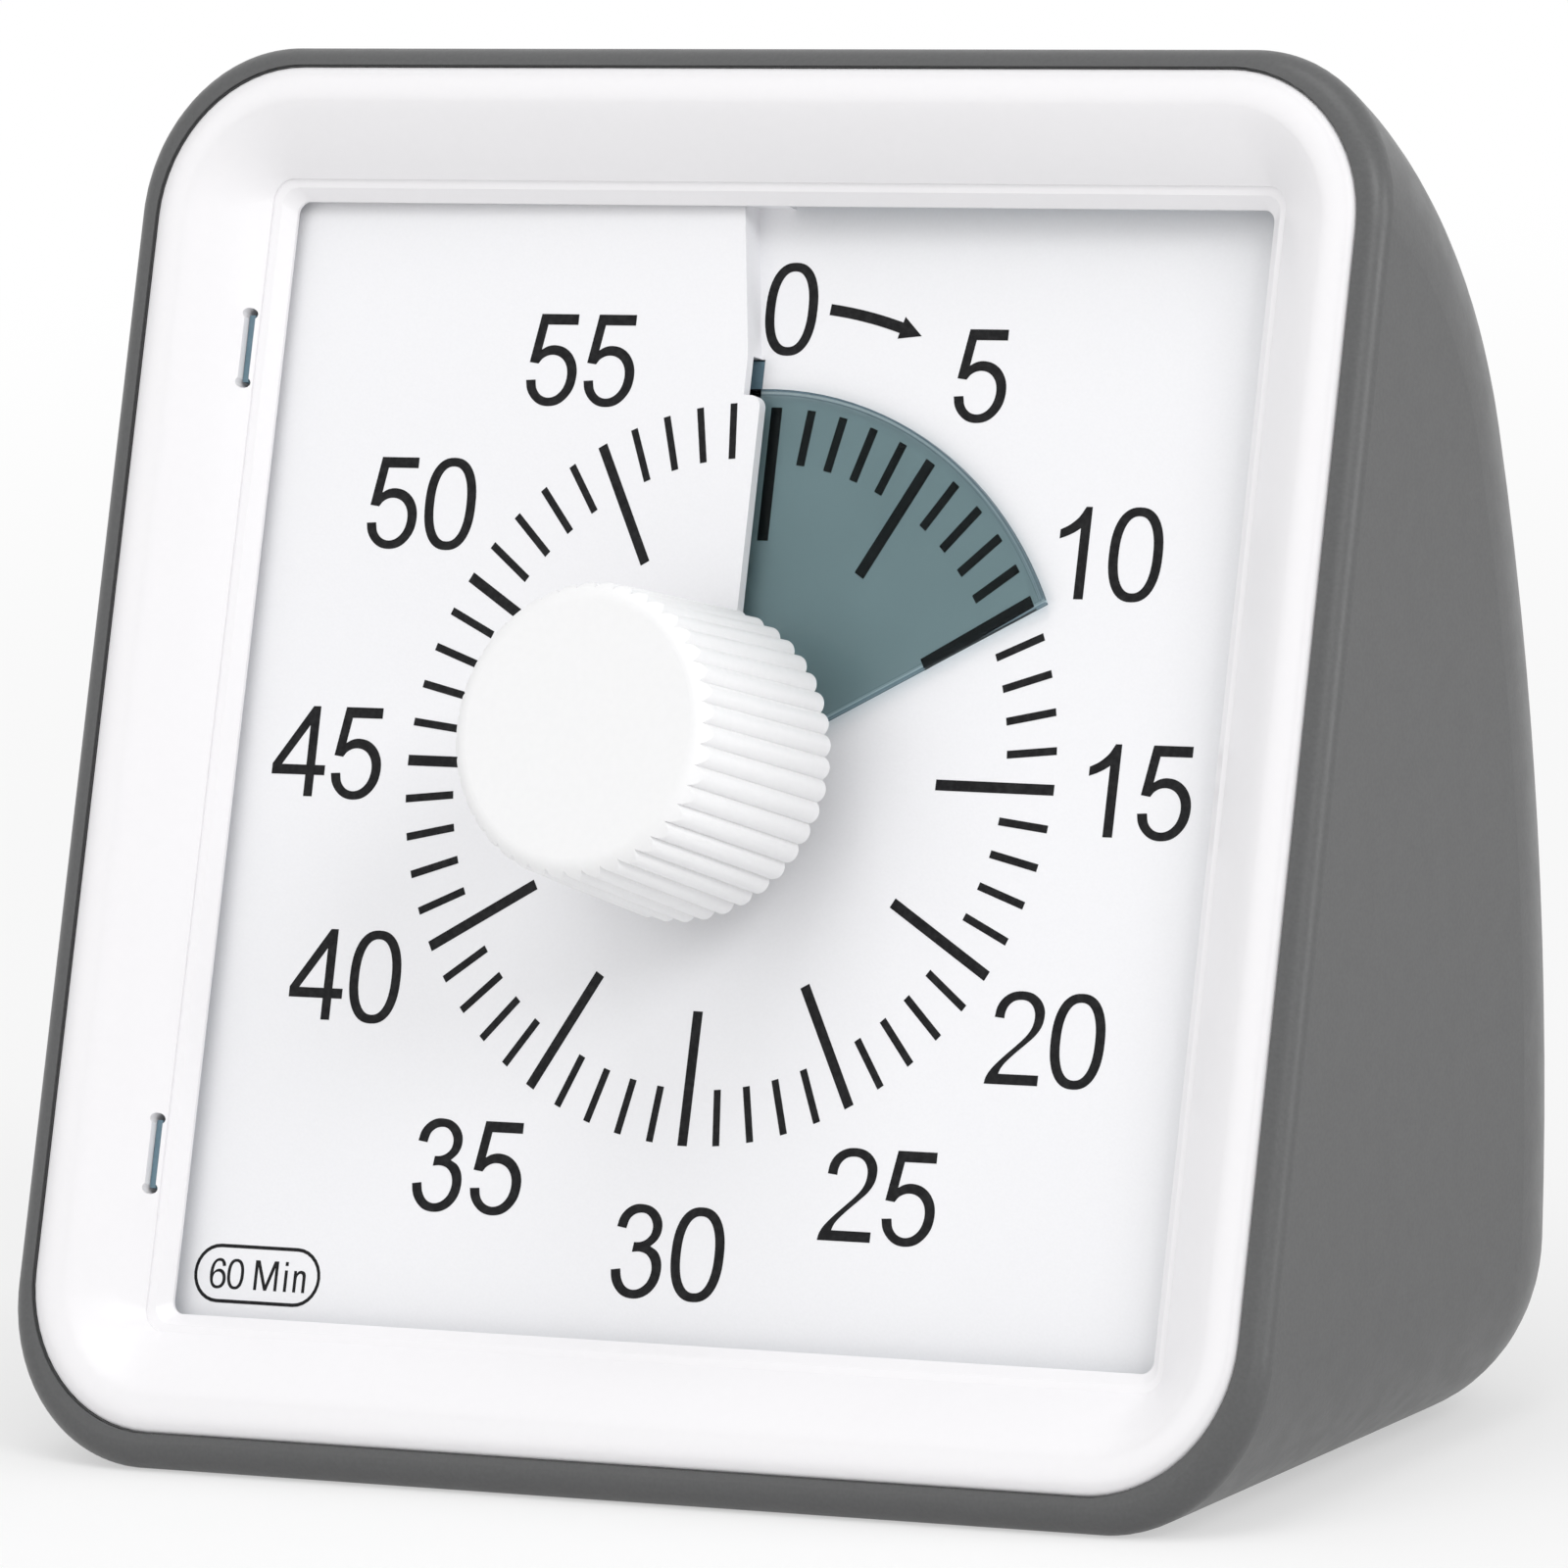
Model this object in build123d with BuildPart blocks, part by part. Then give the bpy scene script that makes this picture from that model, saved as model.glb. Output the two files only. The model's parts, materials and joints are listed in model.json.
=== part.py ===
from build123d import *
import math
import os

# A countdown timer with a square dial that leans back on a flat base. A coloured disc
# climbs out of a slit at twelve o'clock and shows the minutes left.
# Millimetres. World frame: +Z up, the dial faces -Y, the origin is the centre of the
# flat base. Face frame (u right, v up the dial, h out of the dial): its origin is the
# dial's centre, at the mean height of the dial's helical surface.

# ---- driving dimensions -------------------------------------------------------------

# rear shell
face_tilt = 19.0  # the dial leans back by this angle
shell_width = 77.8
shell_wall = 2.0
dial_height = 36.1  # dial centre above the base
border_height = 4.9  # front border of the shell above the dial
border_width = 1.5
foot_border = 2.36  # the same border below the bezel
face_top = 38.9  # dial centre to the shell's top front edge
back_depth = 25.0  # dial centre to the fullest point of the back
back_full_height = 31.4  # that point above the base
back_radius = 130.0
crown_start = 53.6  # where the back turns into the crown, above the base
heel_radius = 10.0
side_round = 9.0
front_round = 1.3

# front bezel
bezel_corner = 8.4
bezel_crest = 4.95
bezel_edge_round = 0.4
bezel_land = 1.5  # crest that is left level beside the rounded edge
bezel_gap = 0.1
bezel_seat = 1.1  # underside of the bezel and of its lip
slope_width = 5.7  # bezel's edge to the crease
crease_height = 2.2
crease_corner = 1.2
crease_step = 0.15  # the lip starts this much below the crease
ledge_width = 0.45  # a nearly level strip of the lip, inside the crease
ledge_drop = 0.12
slope_bulge = 0.2  # the slope from crest to crease is a little convex
bevel_width = 1.1  # crease to the window
window_corner = 0.7
window_land = 0.2
skirt_gap = 0.2
skirt_wall = 1.2
skirt_depth = 2.6
hook_width = 4.0
hook_offset = 22.2
hook_thickness = 1.1
hook_length = 4.1
hook_nib = 0.65
hook_nib_height = 1.1
hook_wall_gap = 0.3
catch_clearance = 0.15
slot_length = 3.8
slot_width = 0.45
slot_end_radius = 0.32
slot_inset = 0.4  # slot centre line outboard of the crease
tab_height = 1.2  # the chassis shows in the slots
tab_gap = 0.05

# dial plate and time disc
dial_thickness = 0.6
dial_overlap = 1.0  # the dial runs on beneath the lip by this much
dial_corner = 1.8
dial_hole_gap = 0.6
dial_skirt_wall = 0.8
disc_thickness = 0.3
disc_gap = 0.3
disc_radius = 20.9
disc_span = 361.0
disc_setting = 60.0  # time shown at rest, as an angle
disc_lead = 2.5  # the leading edge runs past the mark by this angle
slit_length = 20.4
slit_end = 22.6
slit_step = 1.1
slit_corner = 0.65  # rounded corner of the dial where the slit opens upwards
step_lean = 8.5
step_wall = 0.6
shelf_reach = 0.9  # the dial's low side runs on beneath its high side by this much
hub_radius = 4.0
hub_bottom = -2.45
hub_top = 0.6

# knob and spindle
knob_base = 3.5
knob_front = 15.2
knob_radius = 8.5
knob_front_radius = 7.85
knob_ribs = 42
rib_depth = 0.36
knob_edge = 1.0
knob_wall = 1.5
knob_boss_radius = 3.4
knob_boss_bottom = 2.6
spindle_radius = 1.5
spindle_top = 12.0
spindle_flat = 1.1  # axis to the flat
spindle_pivot_radius = 0.6
running_fit = 0.03
sliding_fit = 0.06

# chassis
chassis_front = -3.0
chassis_thickness = 1.4
chassis_gap = 0.2
chassis_rim = 1.6
bush_radius = 3.0
post_radius = 2.5
post_inset = 4.9  # post centres inside the chassis's sides and lower edge
post_inset_top = 5.4
screw_radius = 0.9
screw_head_radius = 1.8
screw_head_height = 0.9
screw_grip = 5.0
screw_slot_width = 0.5
screw_slot_depth = 0.4

# movement
case_half_width = 16.0
case_lift = 0.7  # case above the battery's tray
case_top = 19.0
case_depth = 7.2
case_split = 4.2  # depth of the front half of the case
case_wall = 1.0
case_corner = 3.0
ear_height = 4.0  # where the case's two ears stand, up the dial
ear_reach = 2.6
ear_radius = 2.4
ear_thickness = 1.5
gear_module = 0.25
centre_teeth = 64
third_teeth = 60
second_teeth = 60
third_pinion_teeth = 8
second_pinion_teeth = 10
rotor_pinion_teeth = 8
tooth_addendum = 0.18
tooth_dedendum = 0.28
tooth_fill = 0.38  # tooth width at the pitch circle over the pitch
tip_taper = 0.5
root_flare = 1.25
wheel_thickness = 0.5
pinion_overhang = 0.15  # a pinion is this much longer than its mate at each side
third_bearing = 60.0  # direction of the third wheel from the centre wheel
second_bearing = 168.0  # direction of the second wheel from the third
rotor_bearing = 214.0  # direction of the rotor from the second wheel
centre_front = -5.8
third_front = -7.2
second_front = -8.2
arbor_radius = 0.35
pivot_depth = 0.6
rotor_radius = 1.6
rotor_front = -9.0
rotor_back = -9.9
coil_radius = 1.8
coil_length = 14.0
core_width = 1.6
core_thickness = 1.0
stator_front = -9.1
stator_thickness = 0.5
stator_gap = 0.4
stator_rim = 1.6
washer_thickness = 0.3
washer_notch_radius = 0.5
washer_notches = 3
clip_thickness = 0.25
clip_radius = 2.6
clip_opening = 1.6

# battery, its tray and its door
battery_radius = 7.25
battery_length = 50.5
battery_nub_radius = 2.75
battery_nub_length = 1.0
battery_y = 13.3  # behind the dial centre
battery_height = 10.9  # above the base
spring_length = 5.1
spring_wire = 0.35
spring_turns = 4
contact_thickness = 0.4
contact_width = 9.0
contact_height = 12.0
tray_clearance = 0.45
tray_wall = 1.3
rib_offset = 15.0
rib_thickness = 1.2
cradle_width = 10.9
door_thickness = 1.8
door_margin = 1.1
door_gap = 0.2
door_land = 0.5  # flat strip of the back beside the door, at the least
door_bottom = 2.8  # door's lower edge above the base
hinge_pin_radius = 0.5
hinge_pin_reach = 1.0
grip_radius = 9.0
grip_depth = 0.7

# circuit board, buzzer and alarm switch
board_width = 44.0
board_bottom = 21.1  # above the base
board_height = 24.0
board_thickness = 1.2
board_gap = 1.23  # behind the movement, level with the board's upper edge
board_post_inset = 3.0
board_post_radius = 2.0
chip_size = 6.0
chip_height = 1.2
chip_x = 4.0
chip_rise = 6.0  # chip and crystal above the board's lower edge
crystal_radius = 1.0
crystal_length = 6.0
crystal_x = -6.0
buzzer_radius = 6.0
buzzer_height = 3.4
buzzer_port_radius = 1.0
buzzer_x = -10.0
fittings_height = 32.1  # buzzer and switch above the base
sound_hole_radius = 0.6
sound_ring_radius = 2.6
sound_hole_count = 6
switch_x = 11.0
switch_length = 9.0
switch_width = 5.2
switch_depth = 3.0
switch_wall = 0.9
switch_travel = 3.0
slider_stem = 2.4
slider_head = 3.4
slider_head_height = 0.6
slider_clearance = 0.15
slider_ribs = 3
switch_pocket_depth = 0.8
switch_pocket_margin = 0.4

overcut = 1.0  # how far a cutting solid runs past what it cuts
same_place = 0.01  # points nearer than this are one point
far = 80.0  # beyond every wall

# ---- frames and sizes that follow ---------------------------------------------------

tilt_sin = math.sin(math.radians(face_tilt))
tilt_cos = math.cos(math.radians(face_tilt))
ramp = dial_thickness + disc_thickness + 2 * disc_gap  # rise of the dial in one turn
half_width = shell_width / 2


def side_point(v, h):
    """A point of the face frame as (y, z) from the dial's centre."""
    return (v * tilt_sin - h * tilt_cos, v * tilt_cos + h * tilt_sin)


def face_level(height, h):
    """How far up the dial a point at h lies when it is at a height above the base."""
    return (height - dial_height - h * tilt_sin) / tilt_cos


toe_v = face_level(0, border_height)
toe_depth = side_point(toe_v, border_height)[0]
heel_depth = (
    back_depth
    - back_radius
    + math.sqrt((back_radius - heel_radius) ** 2 - (back_full_height - heel_radius) ** 2)
)
dial_y = -(toe_depth + heel_depth) / 2  # puts the origin in the middle of the flat base
heel_centre = (dial_y + heel_depth, heel_radius)
back_centre_y = dial_y + back_depth - back_radius
face = Plane(
    origin=(0, dial_y, dial_height),
    x_dir=(1, 0, 0),
    z_dir=(0, -tilt_cos, tilt_sin),
)



def shrunk(region, margin):
    """A region of the face (half width, lower edge, upper edge), shrunk evenly."""
    half, low, high = region
    return (half - margin, low + margin, high - margin)


def middle(region):
    """Centre of a region of the face."""
    return (0, (region[1] + region[2]) / 2)


def extent(region):
    """Width and height of a region of the face."""
    return (2 * region[0], region[2] - region[1])


bezel_region = (half_width - border_width, toe_v + foot_border, face_top - border_width)
crease_region = shrunk(bezel_region, slope_width)
window_region = shrunk(crease_region, bevel_width)
dial_region = shrunk(window_region, -dial_overlap)
rim_inner = shrunk(dial_region, -chassis_gap)
rim_outer = shrunk(rim_inner, -chassis_rim)
skirt_inner = shrunk(rim_outer, -skirt_gap)
skirt_outer = shrunk(skirt_inner, -skirt_wall)
rim_corner = bezel_corner - bezel_region[0] + rim_outer[0]  # concentric with the bezel's
cavity_half = half_width - shell_wall
chassis_back = chassis_front - chassis_thickness
hook_outer = cavity_half - hook_wall_gap
hook_bottom = bezel_seat - hook_length

tray_half = (battery_length + spring_length + 2 * contact_thickness) / 2
tray_top = battery_height + battery_radius + tray_clearance
tray_front = dial_y + battery_y - battery_radius - tray_clearance
door_half = tray_half + door_margin
side_radius = min(side_round, half_width - door_half - door_land)
door_top = tray_top + door_margin
hinge_height = door_bottom + door_thickness / 2
hinge_arm = heel_radius - door_thickness / 2
hinge_dip = math.asin((heel_radius - hinge_height) / hinge_arm)
hinge_y = heel_centre[0] + hinge_arm * math.cos(hinge_dip)

case_front = chassis_back
case_joint = case_front - case_split
case_back = case_front - case_depth
case_bottom = face_level(tray_top + tray_wall + case_lift, case_back)
case_centre_v = (case_bottom + case_top) / 2
case_height = case_top - case_bottom
ear_points = [
    (-case_half_width - ear_reach, ear_height),
    (case_half_width + ear_reach, ear_height),
]

board_top = board_bottom + board_height
board_front = dial_y + side_point(face_level(board_top, case_back), case_back)[0] + board_gap
board_back = board_front + board_thickness
board_centre_z = board_bottom + board_height / 2
board_posts = [
    (side * (board_width / 2 - board_post_inset), level)
    for side in (-1, 1)
    for level in (board_bottom + board_post_inset, board_top - board_post_inset)
]


def along(start, bearing, distance):
    """The point at a distance from another, in a direction given in degrees."""
    angle = math.radians(bearing)
    return (start[0] + distance * math.cos(angle), start[1] + distance * math.sin(angle))


def mesh_distance(wheel_teeth, pinion_teeth):
    """Centre distance of a wheel and its pinion."""
    return gear_module * (wheel_teeth + pinion_teeth) / 2


third_axis = along((0, 0), third_bearing, mesh_distance(centre_teeth, third_pinion_teeth))
second_axis = along(third_axis, second_bearing, mesh_distance(third_teeth, second_pinion_teeth))
rotor_axis = along(second_axis, rotor_bearing, mesh_distance(second_teeth, rotor_pinion_teeth))


def on_back(height):
    """Y of the shell's back at a height above the base."""
    return back_centre_y + math.sqrt(back_radius**2 - (height - back_full_height) ** 2)


def side_view(inset):
    """Side view of the shell, shrunk evenly: tilted front, crown, back, heel and base."""
    crest = side_point(face_top, border_height)
    with BuildSketch(Plane.YZ) as view:
        with BuildLine():
            sole = Line((dial_y + toe_depth, 0), (on_back(0), 0))
            back = ThreePointArc(
                sole @ 1,
                (on_back(crown_start / 2), crown_start / 2),
                (on_back(crown_start), crown_start),
            )
            crown = TangentArc(
                back @ 1,
                (dial_y + crest[0], dial_height + crest[1]),
                tangent=back % 1,
            )
            Line(crown @ 1, sole @ 0)
        make_face()
        fillet(view.vertices().sort_by(Axis.Y)[:2].sort_by(Axis.X)[-1], heel_radius)
        if inset:
            offset(amount=-inset, mode=Mode.REPLACE)
    return view.sketch


def shell_form(inset):
    """The shell's whole outer form, shrunk evenly, with its long edges rounded."""
    half = half_width - inset
    with BuildPart() as form:
        extrude(side_view(inset), amount=half, both=True)
        rims = form.edges().filter_by(lambda edge: abs(abs(edge.center().X) - half) < same_place)
        front = border_height - inset - same_place
        behind = rims.filter_by(lambda edge: face.to_local_coords(edge.center()).Z < front)
        fillet(behind, side_radius - inset)
    return form.part


def square_frame(outer, outer_corner, inner, inner_corner, bottom, top):
    """Square tube with rounded corners, between two heights above the dial."""
    with BuildPart() as tube:
        with BuildSketch(face.offset(bottom)):
            with Locations(middle(outer)):
                RectangleRounded(*extent(outer), outer_corner)
                RectangleRounded(*extent(inner), inner_corner, mode=Mode.SUBTRACT)
        extrude(amount=top - bottom)
    return tube.part


def helicoid(inner, outer, thickness, start, span, level=0.0):
    """A ribbon that climbs clockwise round the dial's axis, seen from the front.

    Its upper side is at `level` plus the dial's own rise, and angles are clockwise
    from twelve o'clock.
    """
    guide_radius = (inner + outer) / 2
    with BuildPart() as ribbon:
        with BuildLine() as path:
            Helix(pitch=ramp, height=ramp * span / 360, radius=guide_radius, lefthand=True)
        with BuildSketch(Plane(origin=(0, 0, 0), x_dir=(1, 0, 0), z_dir=(0, -1, 0))):
            with BuildLine():
                Polyline(
                    (inner, -thickness),
                    (outer, -thickness),
                    (outer, 0),
                    (inner, 0),
                    close=True,
                )
            make_face()
        sweep(path=path.line, is_frenet=True)
    rise = level - ramp / 2 + ramp * start / 360
    return face.location * Pos(0, 0, rise) * Rot(Z=90 - start) * ribbon.part


def gear(axis, teeth, tooth_bearing, front, thickness, bore=0.0):
    """A spur gear with straight-sided teeth, one of them centred on a bearing."""
    pitch_radius = gear_module * teeth / 2
    root = pitch_radius - tooth_dedendum
    tip = pitch_radius + tooth_addendum
    half_tooth = 180 * tooth_fill / teeth
    corners = (
        (root, -root_flare * half_tooth),
        (tip, -tip_taper * half_tooth),
        (tip, tip_taper * half_tooth),
        (root, root_flare * half_tooth),
    )
    outline = [
        along(axis, tooth_bearing + 360 * tooth / teeth + turn, radius)
        for tooth in range(teeth)
        for radius, turn in corners
    ]
    with BuildPart() as wheel:
        with BuildSketch(face.offset(front)):
            with BuildLine():
                Polyline(*outline, close=True)
            make_face()
            if bore:
                with Locations(axis):
                    Circle(bore, mode=Mode.SUBTRACT)
        extrude(amount=-thickness)
    return wheel.part


def rod(axis, radius, front, back):
    """A round rod square to the dial, between two heights."""
    with BuildPart() as pin:
        with BuildSketch(face.offset(back)):
            with Locations(axis):
                Circle(radius)
        extrude(amount=front - back)
    return pin.part


def screw(origin, toward, grip):
    """A slotted pan-head screw: its head stands on the origin, its shank goes back."""
    seat = Plane(origin=origin, x_dir=(1, 0, 0), z_dir=toward)
    with BuildPart() as fastener:
        with BuildSketch(seat):
            Circle(screw_head_radius)
        extrude(amount=screw_head_height)
        with BuildSketch(seat.offset(screw_head_height - screw_slot_depth)):
            Rectangle(2 * (screw_head_radius + overcut), screw_slot_width)
        extrude(amount=screw_head_height, mode=Mode.SUBTRACT)
        with BuildSketch(seat):
            Circle(screw_radius)
        extrude(amount=-grip)
    return fastener.part


def on_face(u, v, h):
    """World position of a point of the face frame."""
    return face.from_local_coords((u, v, h))


def upright(y):
    """Upright plane at a given Y whose sketches keep +X right and +Z up."""
    return Plane(origin=(0, y, 0), x_dir=(1, 0, 0), z_dir=(0, -1, 0))


os.makedirs("parts", exist_ok=True)

# ---- rear shell ---------------------------------------------------------------------

chassis_posts = [
    (side * (rim_outer[0] - post_inset), level)
    for side in (-1, 1)
    for level in (rim_outer[2] - post_inset_top, rim_outer[1] + post_inset)
]
hook_points = [(side, level * hook_offset) for side in (-1, 1) for level in (-1, 1)]
hollow_form = shell_form(shell_wall)

with BuildPart() as battery_space:
    add(hollow_form)
    with BuildSketch(Plane.XY):
        with Locations((0, tray_front + far / 2)):
            Rectangle(2 * tray_half, far)
    extrude(amount=tray_top, mode=Mode.INTERSECT)
    with BuildSketch(Plane.YZ.offset(-rib_offset - rib_thickness / 2)) as rib:
        with Locations((dial_y + battery_y, battery_height / 2)):
            Rectangle(cradle_width, battery_height)
        with Locations((dial_y + battery_y, battery_height)):
            Circle(battery_radius, mode=Mode.SUBTRACT)
    extrude(amount=rib_thickness, mode=Mode.SUBTRACT)
    extrude(rib.sketch.moved(Pos(X=2 * rib_offset)), amount=rib_thickness, mode=Mode.SUBTRACT)

with BuildPart() as hollow:
    add(hollow_form)
    with BuildSketch(face.offset(chassis_back)):
        with Locations(*chassis_posts):
            Circle(post_radius)
    extrude(amount=-far, mode=Mode.SUBTRACT)
    with BuildSketch(Plane.XY):
        with Locations((0, tray_front - tray_wall + far / 2)):
            Rectangle(2 * (tray_half + tray_wall), far)
    extrude(amount=tray_top + tray_wall, mode=Mode.SUBTRACT)
    add(battery_space.part)
    with BuildSketch(upright(board_back)):
        with Locations(*board_posts):
            Circle(board_post_radius)
    extrude(amount=-far, mode=Mode.SUBTRACT)


def door_wedge(gap):
    """Side view of the region that the door fills, less a gap at its upper edge."""
    dip = (math.cos(hinge_dip), -math.sin(hinge_dip))
    with BuildSketch(Plane.YZ) as wedge:
        with BuildLine():
            Polyline(
                heel_centre,
                (heel_centre[0] + far * dip[0], heel_centre[1] + far * dip[1]),
                (heel_centre[0] + far, door_top - gap),
                (heel_centre[0], door_top - gap),
                close=True,
            )
        make_face()
    return wedge.sketch


def hinge_rod(radius, half_length):
    """Rod along the door's hinge axis."""
    with BuildPart() as pin:
        with BuildSketch(Plane.YZ):
            with Locations((hinge_y, hinge_height)):
                Circle(radius)
        extrude(amount=half_length, both=True)
    return pin.part


grip_centre = (0, on_back(door_top) + grip_radius - grip_depth, door_top)
with BuildPart() as thumb_grip:
    with Locations(grip_centre):
        Sphere(grip_radius)

with BuildPart() as door_cut:
    extrude(door_wedge(0), amount=door_half, both=True)
    extrude(side_view(shell_wall), amount=far, both=True, mode=Mode.SUBTRACT)
    add(hinge_rod(door_thickness / 2 + door_gap, door_half))
    add(hinge_rod(hinge_pin_radius + sliding_fit, door_half + hinge_pin_reach + door_gap))

sound_holes = [(buzzer_x, fittings_height)] + [
    along((buzzer_x, fittings_height), 360 * k / sound_hole_count, sound_ring_radius)
    for k in range(sound_hole_count)
]
pocket_floor = on_back(fittings_height) - switch_pocket_depth
slot_size = (
    switch_travel + slider_stem + 2 * slider_clearance,
    slider_stem + 2 * slider_clearance,
)
pocket_size = (
    switch_travel + slider_head + 2 * switch_pocket_margin,
    slider_head + 2 * switch_pocket_margin,
)

with BuildPart() as rear_shell:
    add(shell_form(0))
    front_edge = rear_shell.faces().sort_by(Axis(face.origin, face.z_dir))[-1].edges()
    fillet(front_edge, front_round)
    add(hollow.part, mode=Mode.SUBTRACT)
    with BuildSketch(face.offset(bezel_seat)):
        with Locations(middle(bezel_region)):
            RectangleRounded(*extent(shrunk(bezel_region, -bezel_gap)), bezel_corner + bezel_gap)
    extrude(amount=border_height - bezel_seat + overcut, mode=Mode.SUBTRACT)
    with BuildSketch(face.offset(hook_bottom - catch_clearance)):
        for side, level in hook_points:
            with Locations((side * cavity_half, level)):
                Rectangle(
                    2 * (hook_nib - hook_wall_gap + catch_clearance),
                    hook_width + 2 * catch_clearance,
                )
    extrude(amount=hook_nib_height + 2 * catch_clearance, mode=Mode.SUBTRACT)
    add(door_cut.part, mode=Mode.SUBTRACT)
    add(thumb_grip.part, mode=Mode.SUBTRACT)
    with BuildSketch(face.offset(chassis_back)):
        with Locations(*chassis_posts):
            Circle(screw_radius)
    extrude(amount=chassis_thickness - screw_grip, mode=Mode.SUBTRACT)
    with BuildSketch(upright(board_back)):
        with Locations(*board_posts):
            Circle(screw_radius)
    extrude(amount=board_thickness - screw_grip, mode=Mode.SUBTRACT)
    with BuildSketch(upright(board_back)):
        with Locations(*sound_holes):
            Circle(sound_hole_radius)
    extrude(amount=-far, mode=Mode.SUBTRACT)
    with BuildSketch(upright(board_back)):
        with Locations((switch_x, fittings_height)):
            Rectangle(*slot_size)
    extrude(amount=-far, mode=Mode.SUBTRACT)
    with BuildSketch(upright(pocket_floor)):
        with Locations((switch_x, fittings_height)):
            Rectangle(*pocket_size)
    extrude(amount=-far, mode=Mode.SUBTRACT)
rear_shell.part.label = "rear_shell"
export_step(rear_shell.part, "parts/rear_shell.step")

# ---- front bezel --------------------------------------------------------------------

crest_inset = bezel_edge_round + bezel_land
crest_corner = bezel_corner - crest_inset
funnel = (
    (bezel_crest, crest_inset, crest_corner),
    (
        (bezel_crest + crease_height) / 2 + slope_bulge,
        (crest_inset + slope_width) / 2,
        (crest_corner + crease_corner) / 2,
    ),
    (crease_height, slope_width, crease_corner),
)
lip_top = crease_height - crease_step
lip = (
    (lip_top, crease_region, crease_corner),
    (
        lip_top - ledge_drop,
        shrunk(crease_region, ledge_width),
        (crease_corner + window_corner) / 2,
    ),
    (bezel_seat + window_land, window_region, window_corner),
)
slot_u = -(crease_region[0] + slot_inset)
skirt_form = square_frame(
    skirt_outer,
    rim_corner + skirt_gap + skirt_wall,
    skirt_inner,
    rim_corner + skirt_gap,
    bezel_seat - skirt_depth,
    bezel_seat,
)

with BuildPart() as front_bezel:
    with BuildSketch(face.offset(bezel_seat)):
        with Locations(middle(bezel_region)):
            RectangleRounded(*extent(bezel_region), bezel_corner)
    extrude(amount=bezel_crest - bezel_seat)
    fillet(
        front_bezel.faces().sort_by(Axis(face.origin, face.z_dir))[-1].edges(),
        bezel_edge_round,
    )
    for height, inset, corner in funnel:
        with BuildSketch(face.offset(height)):
            with Locations(middle(bezel_region)):
                RectangleRounded(*extent(shrunk(bezel_region, inset)), corner)
    loft(mode=Mode.SUBTRACT)
    with BuildSketch(face.offset(lip_top)):
        with Locations(middle(crease_region)):
            RectangleRounded(*extent(crease_region), crease_corner)
    extrude(amount=crease_step, mode=Mode.SUBTRACT)
    for height, region, corner in lip:
        with BuildSketch(face.offset(height)):
            with Locations(middle(region)):
                RectangleRounded(*extent(region), corner)
    loft(ruled=True, mode=Mode.SUBTRACT)
    with BuildSketch(face.offset(bezel_seat)):
        with Locations(middle(window_region)):
            RectangleRounded(*extent(window_region), window_corner)
    extrude(amount=window_land, mode=Mode.SUBTRACT)
    add(skirt_form)
    with BuildSketch(face.offset(hook_bottom)):
        for side, level in hook_points:
            with Locations((side * (hook_outer - hook_thickness / 2), level)):
                Rectangle(hook_thickness, hook_width)
    extrude(amount=hook_length)
    with BuildSketch(face.offset(hook_bottom)):
        for side, level in hook_points:
            with Locations((side * (hook_outer + (hook_nib - hook_thickness) / 2), level)):
                Rectangle(hook_nib + hook_thickness, hook_width)
    extrude(amount=hook_nib_height)
    with BuildSketch(face.offset(bezel_seat)):
        for level in (-hook_offset, hook_offset):
            with Locations((slot_u, level)):
                Rectangle(slot_width, slot_length)
            for end in (-1, 1):
                with Locations((slot_u, level + end * slot_length / 2)):
                    Circle(slot_end_radius)
    extrude(amount=bezel_crest, mode=Mode.SUBTRACT)
front_bezel.part.label = "front_bezel"
export_step(front_bezel.part, "parts/front_bezel.step")

# ---- dial plate ---------------------------------------------------------------------

lean = math.tan(math.radians(step_lean))
step_top = dial_region[2] + overcut
step_shift = slit_step + (step_top - slit_end) * lean
dial_reach = math.hypot(dial_region[0], max(-dial_region[1], dial_region[2])) + overcut
dial_hole = hub_radius + dial_hole_gap
step_turn = 2 * math.degrees(max(step_shift / step_top, shelf_reach / dial_hole))
dial_sheet = helicoid(dial_hole, dial_reach, dial_thickness, 0, 360)
step_sheet = helicoid(dial_hole, dial_reach, dial_thickness, -step_turn, step_turn)
skirt_sheets = [
    helicoid(slit_end / 2, dial_reach, -2 * chassis_front, start, 180, -dial_thickness / 2)
    for start in (0, 180)
]

dial_tube = square_frame(
    dial_region,
    dial_corner,
    shrunk(dial_region, dial_skirt_wall),
    dial_corner - dial_skirt_wall,
    chassis_front,
    -chassis_front,
)
with BuildPart() as dial_skirt:
    add(skirt_sheets)
    add(dial_tube, mode=Mode.INTERSECT)

with BuildPart() as step_floor:
    add(step_sheet)
    with BuildSketch(face.offset(chassis_front)):
        with BuildLine():
            Polyline(
                (0, 0),
                (-shelf_reach, 0),
                (-shelf_reach, slit_end),
                (-slit_step, slit_end),
                (-step_shift, step_top),
                (0, step_top),
                close=True,
            )
        make_face()
    extrude(amount=-2 * chassis_front, mode=Mode.INTERSECT)

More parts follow.
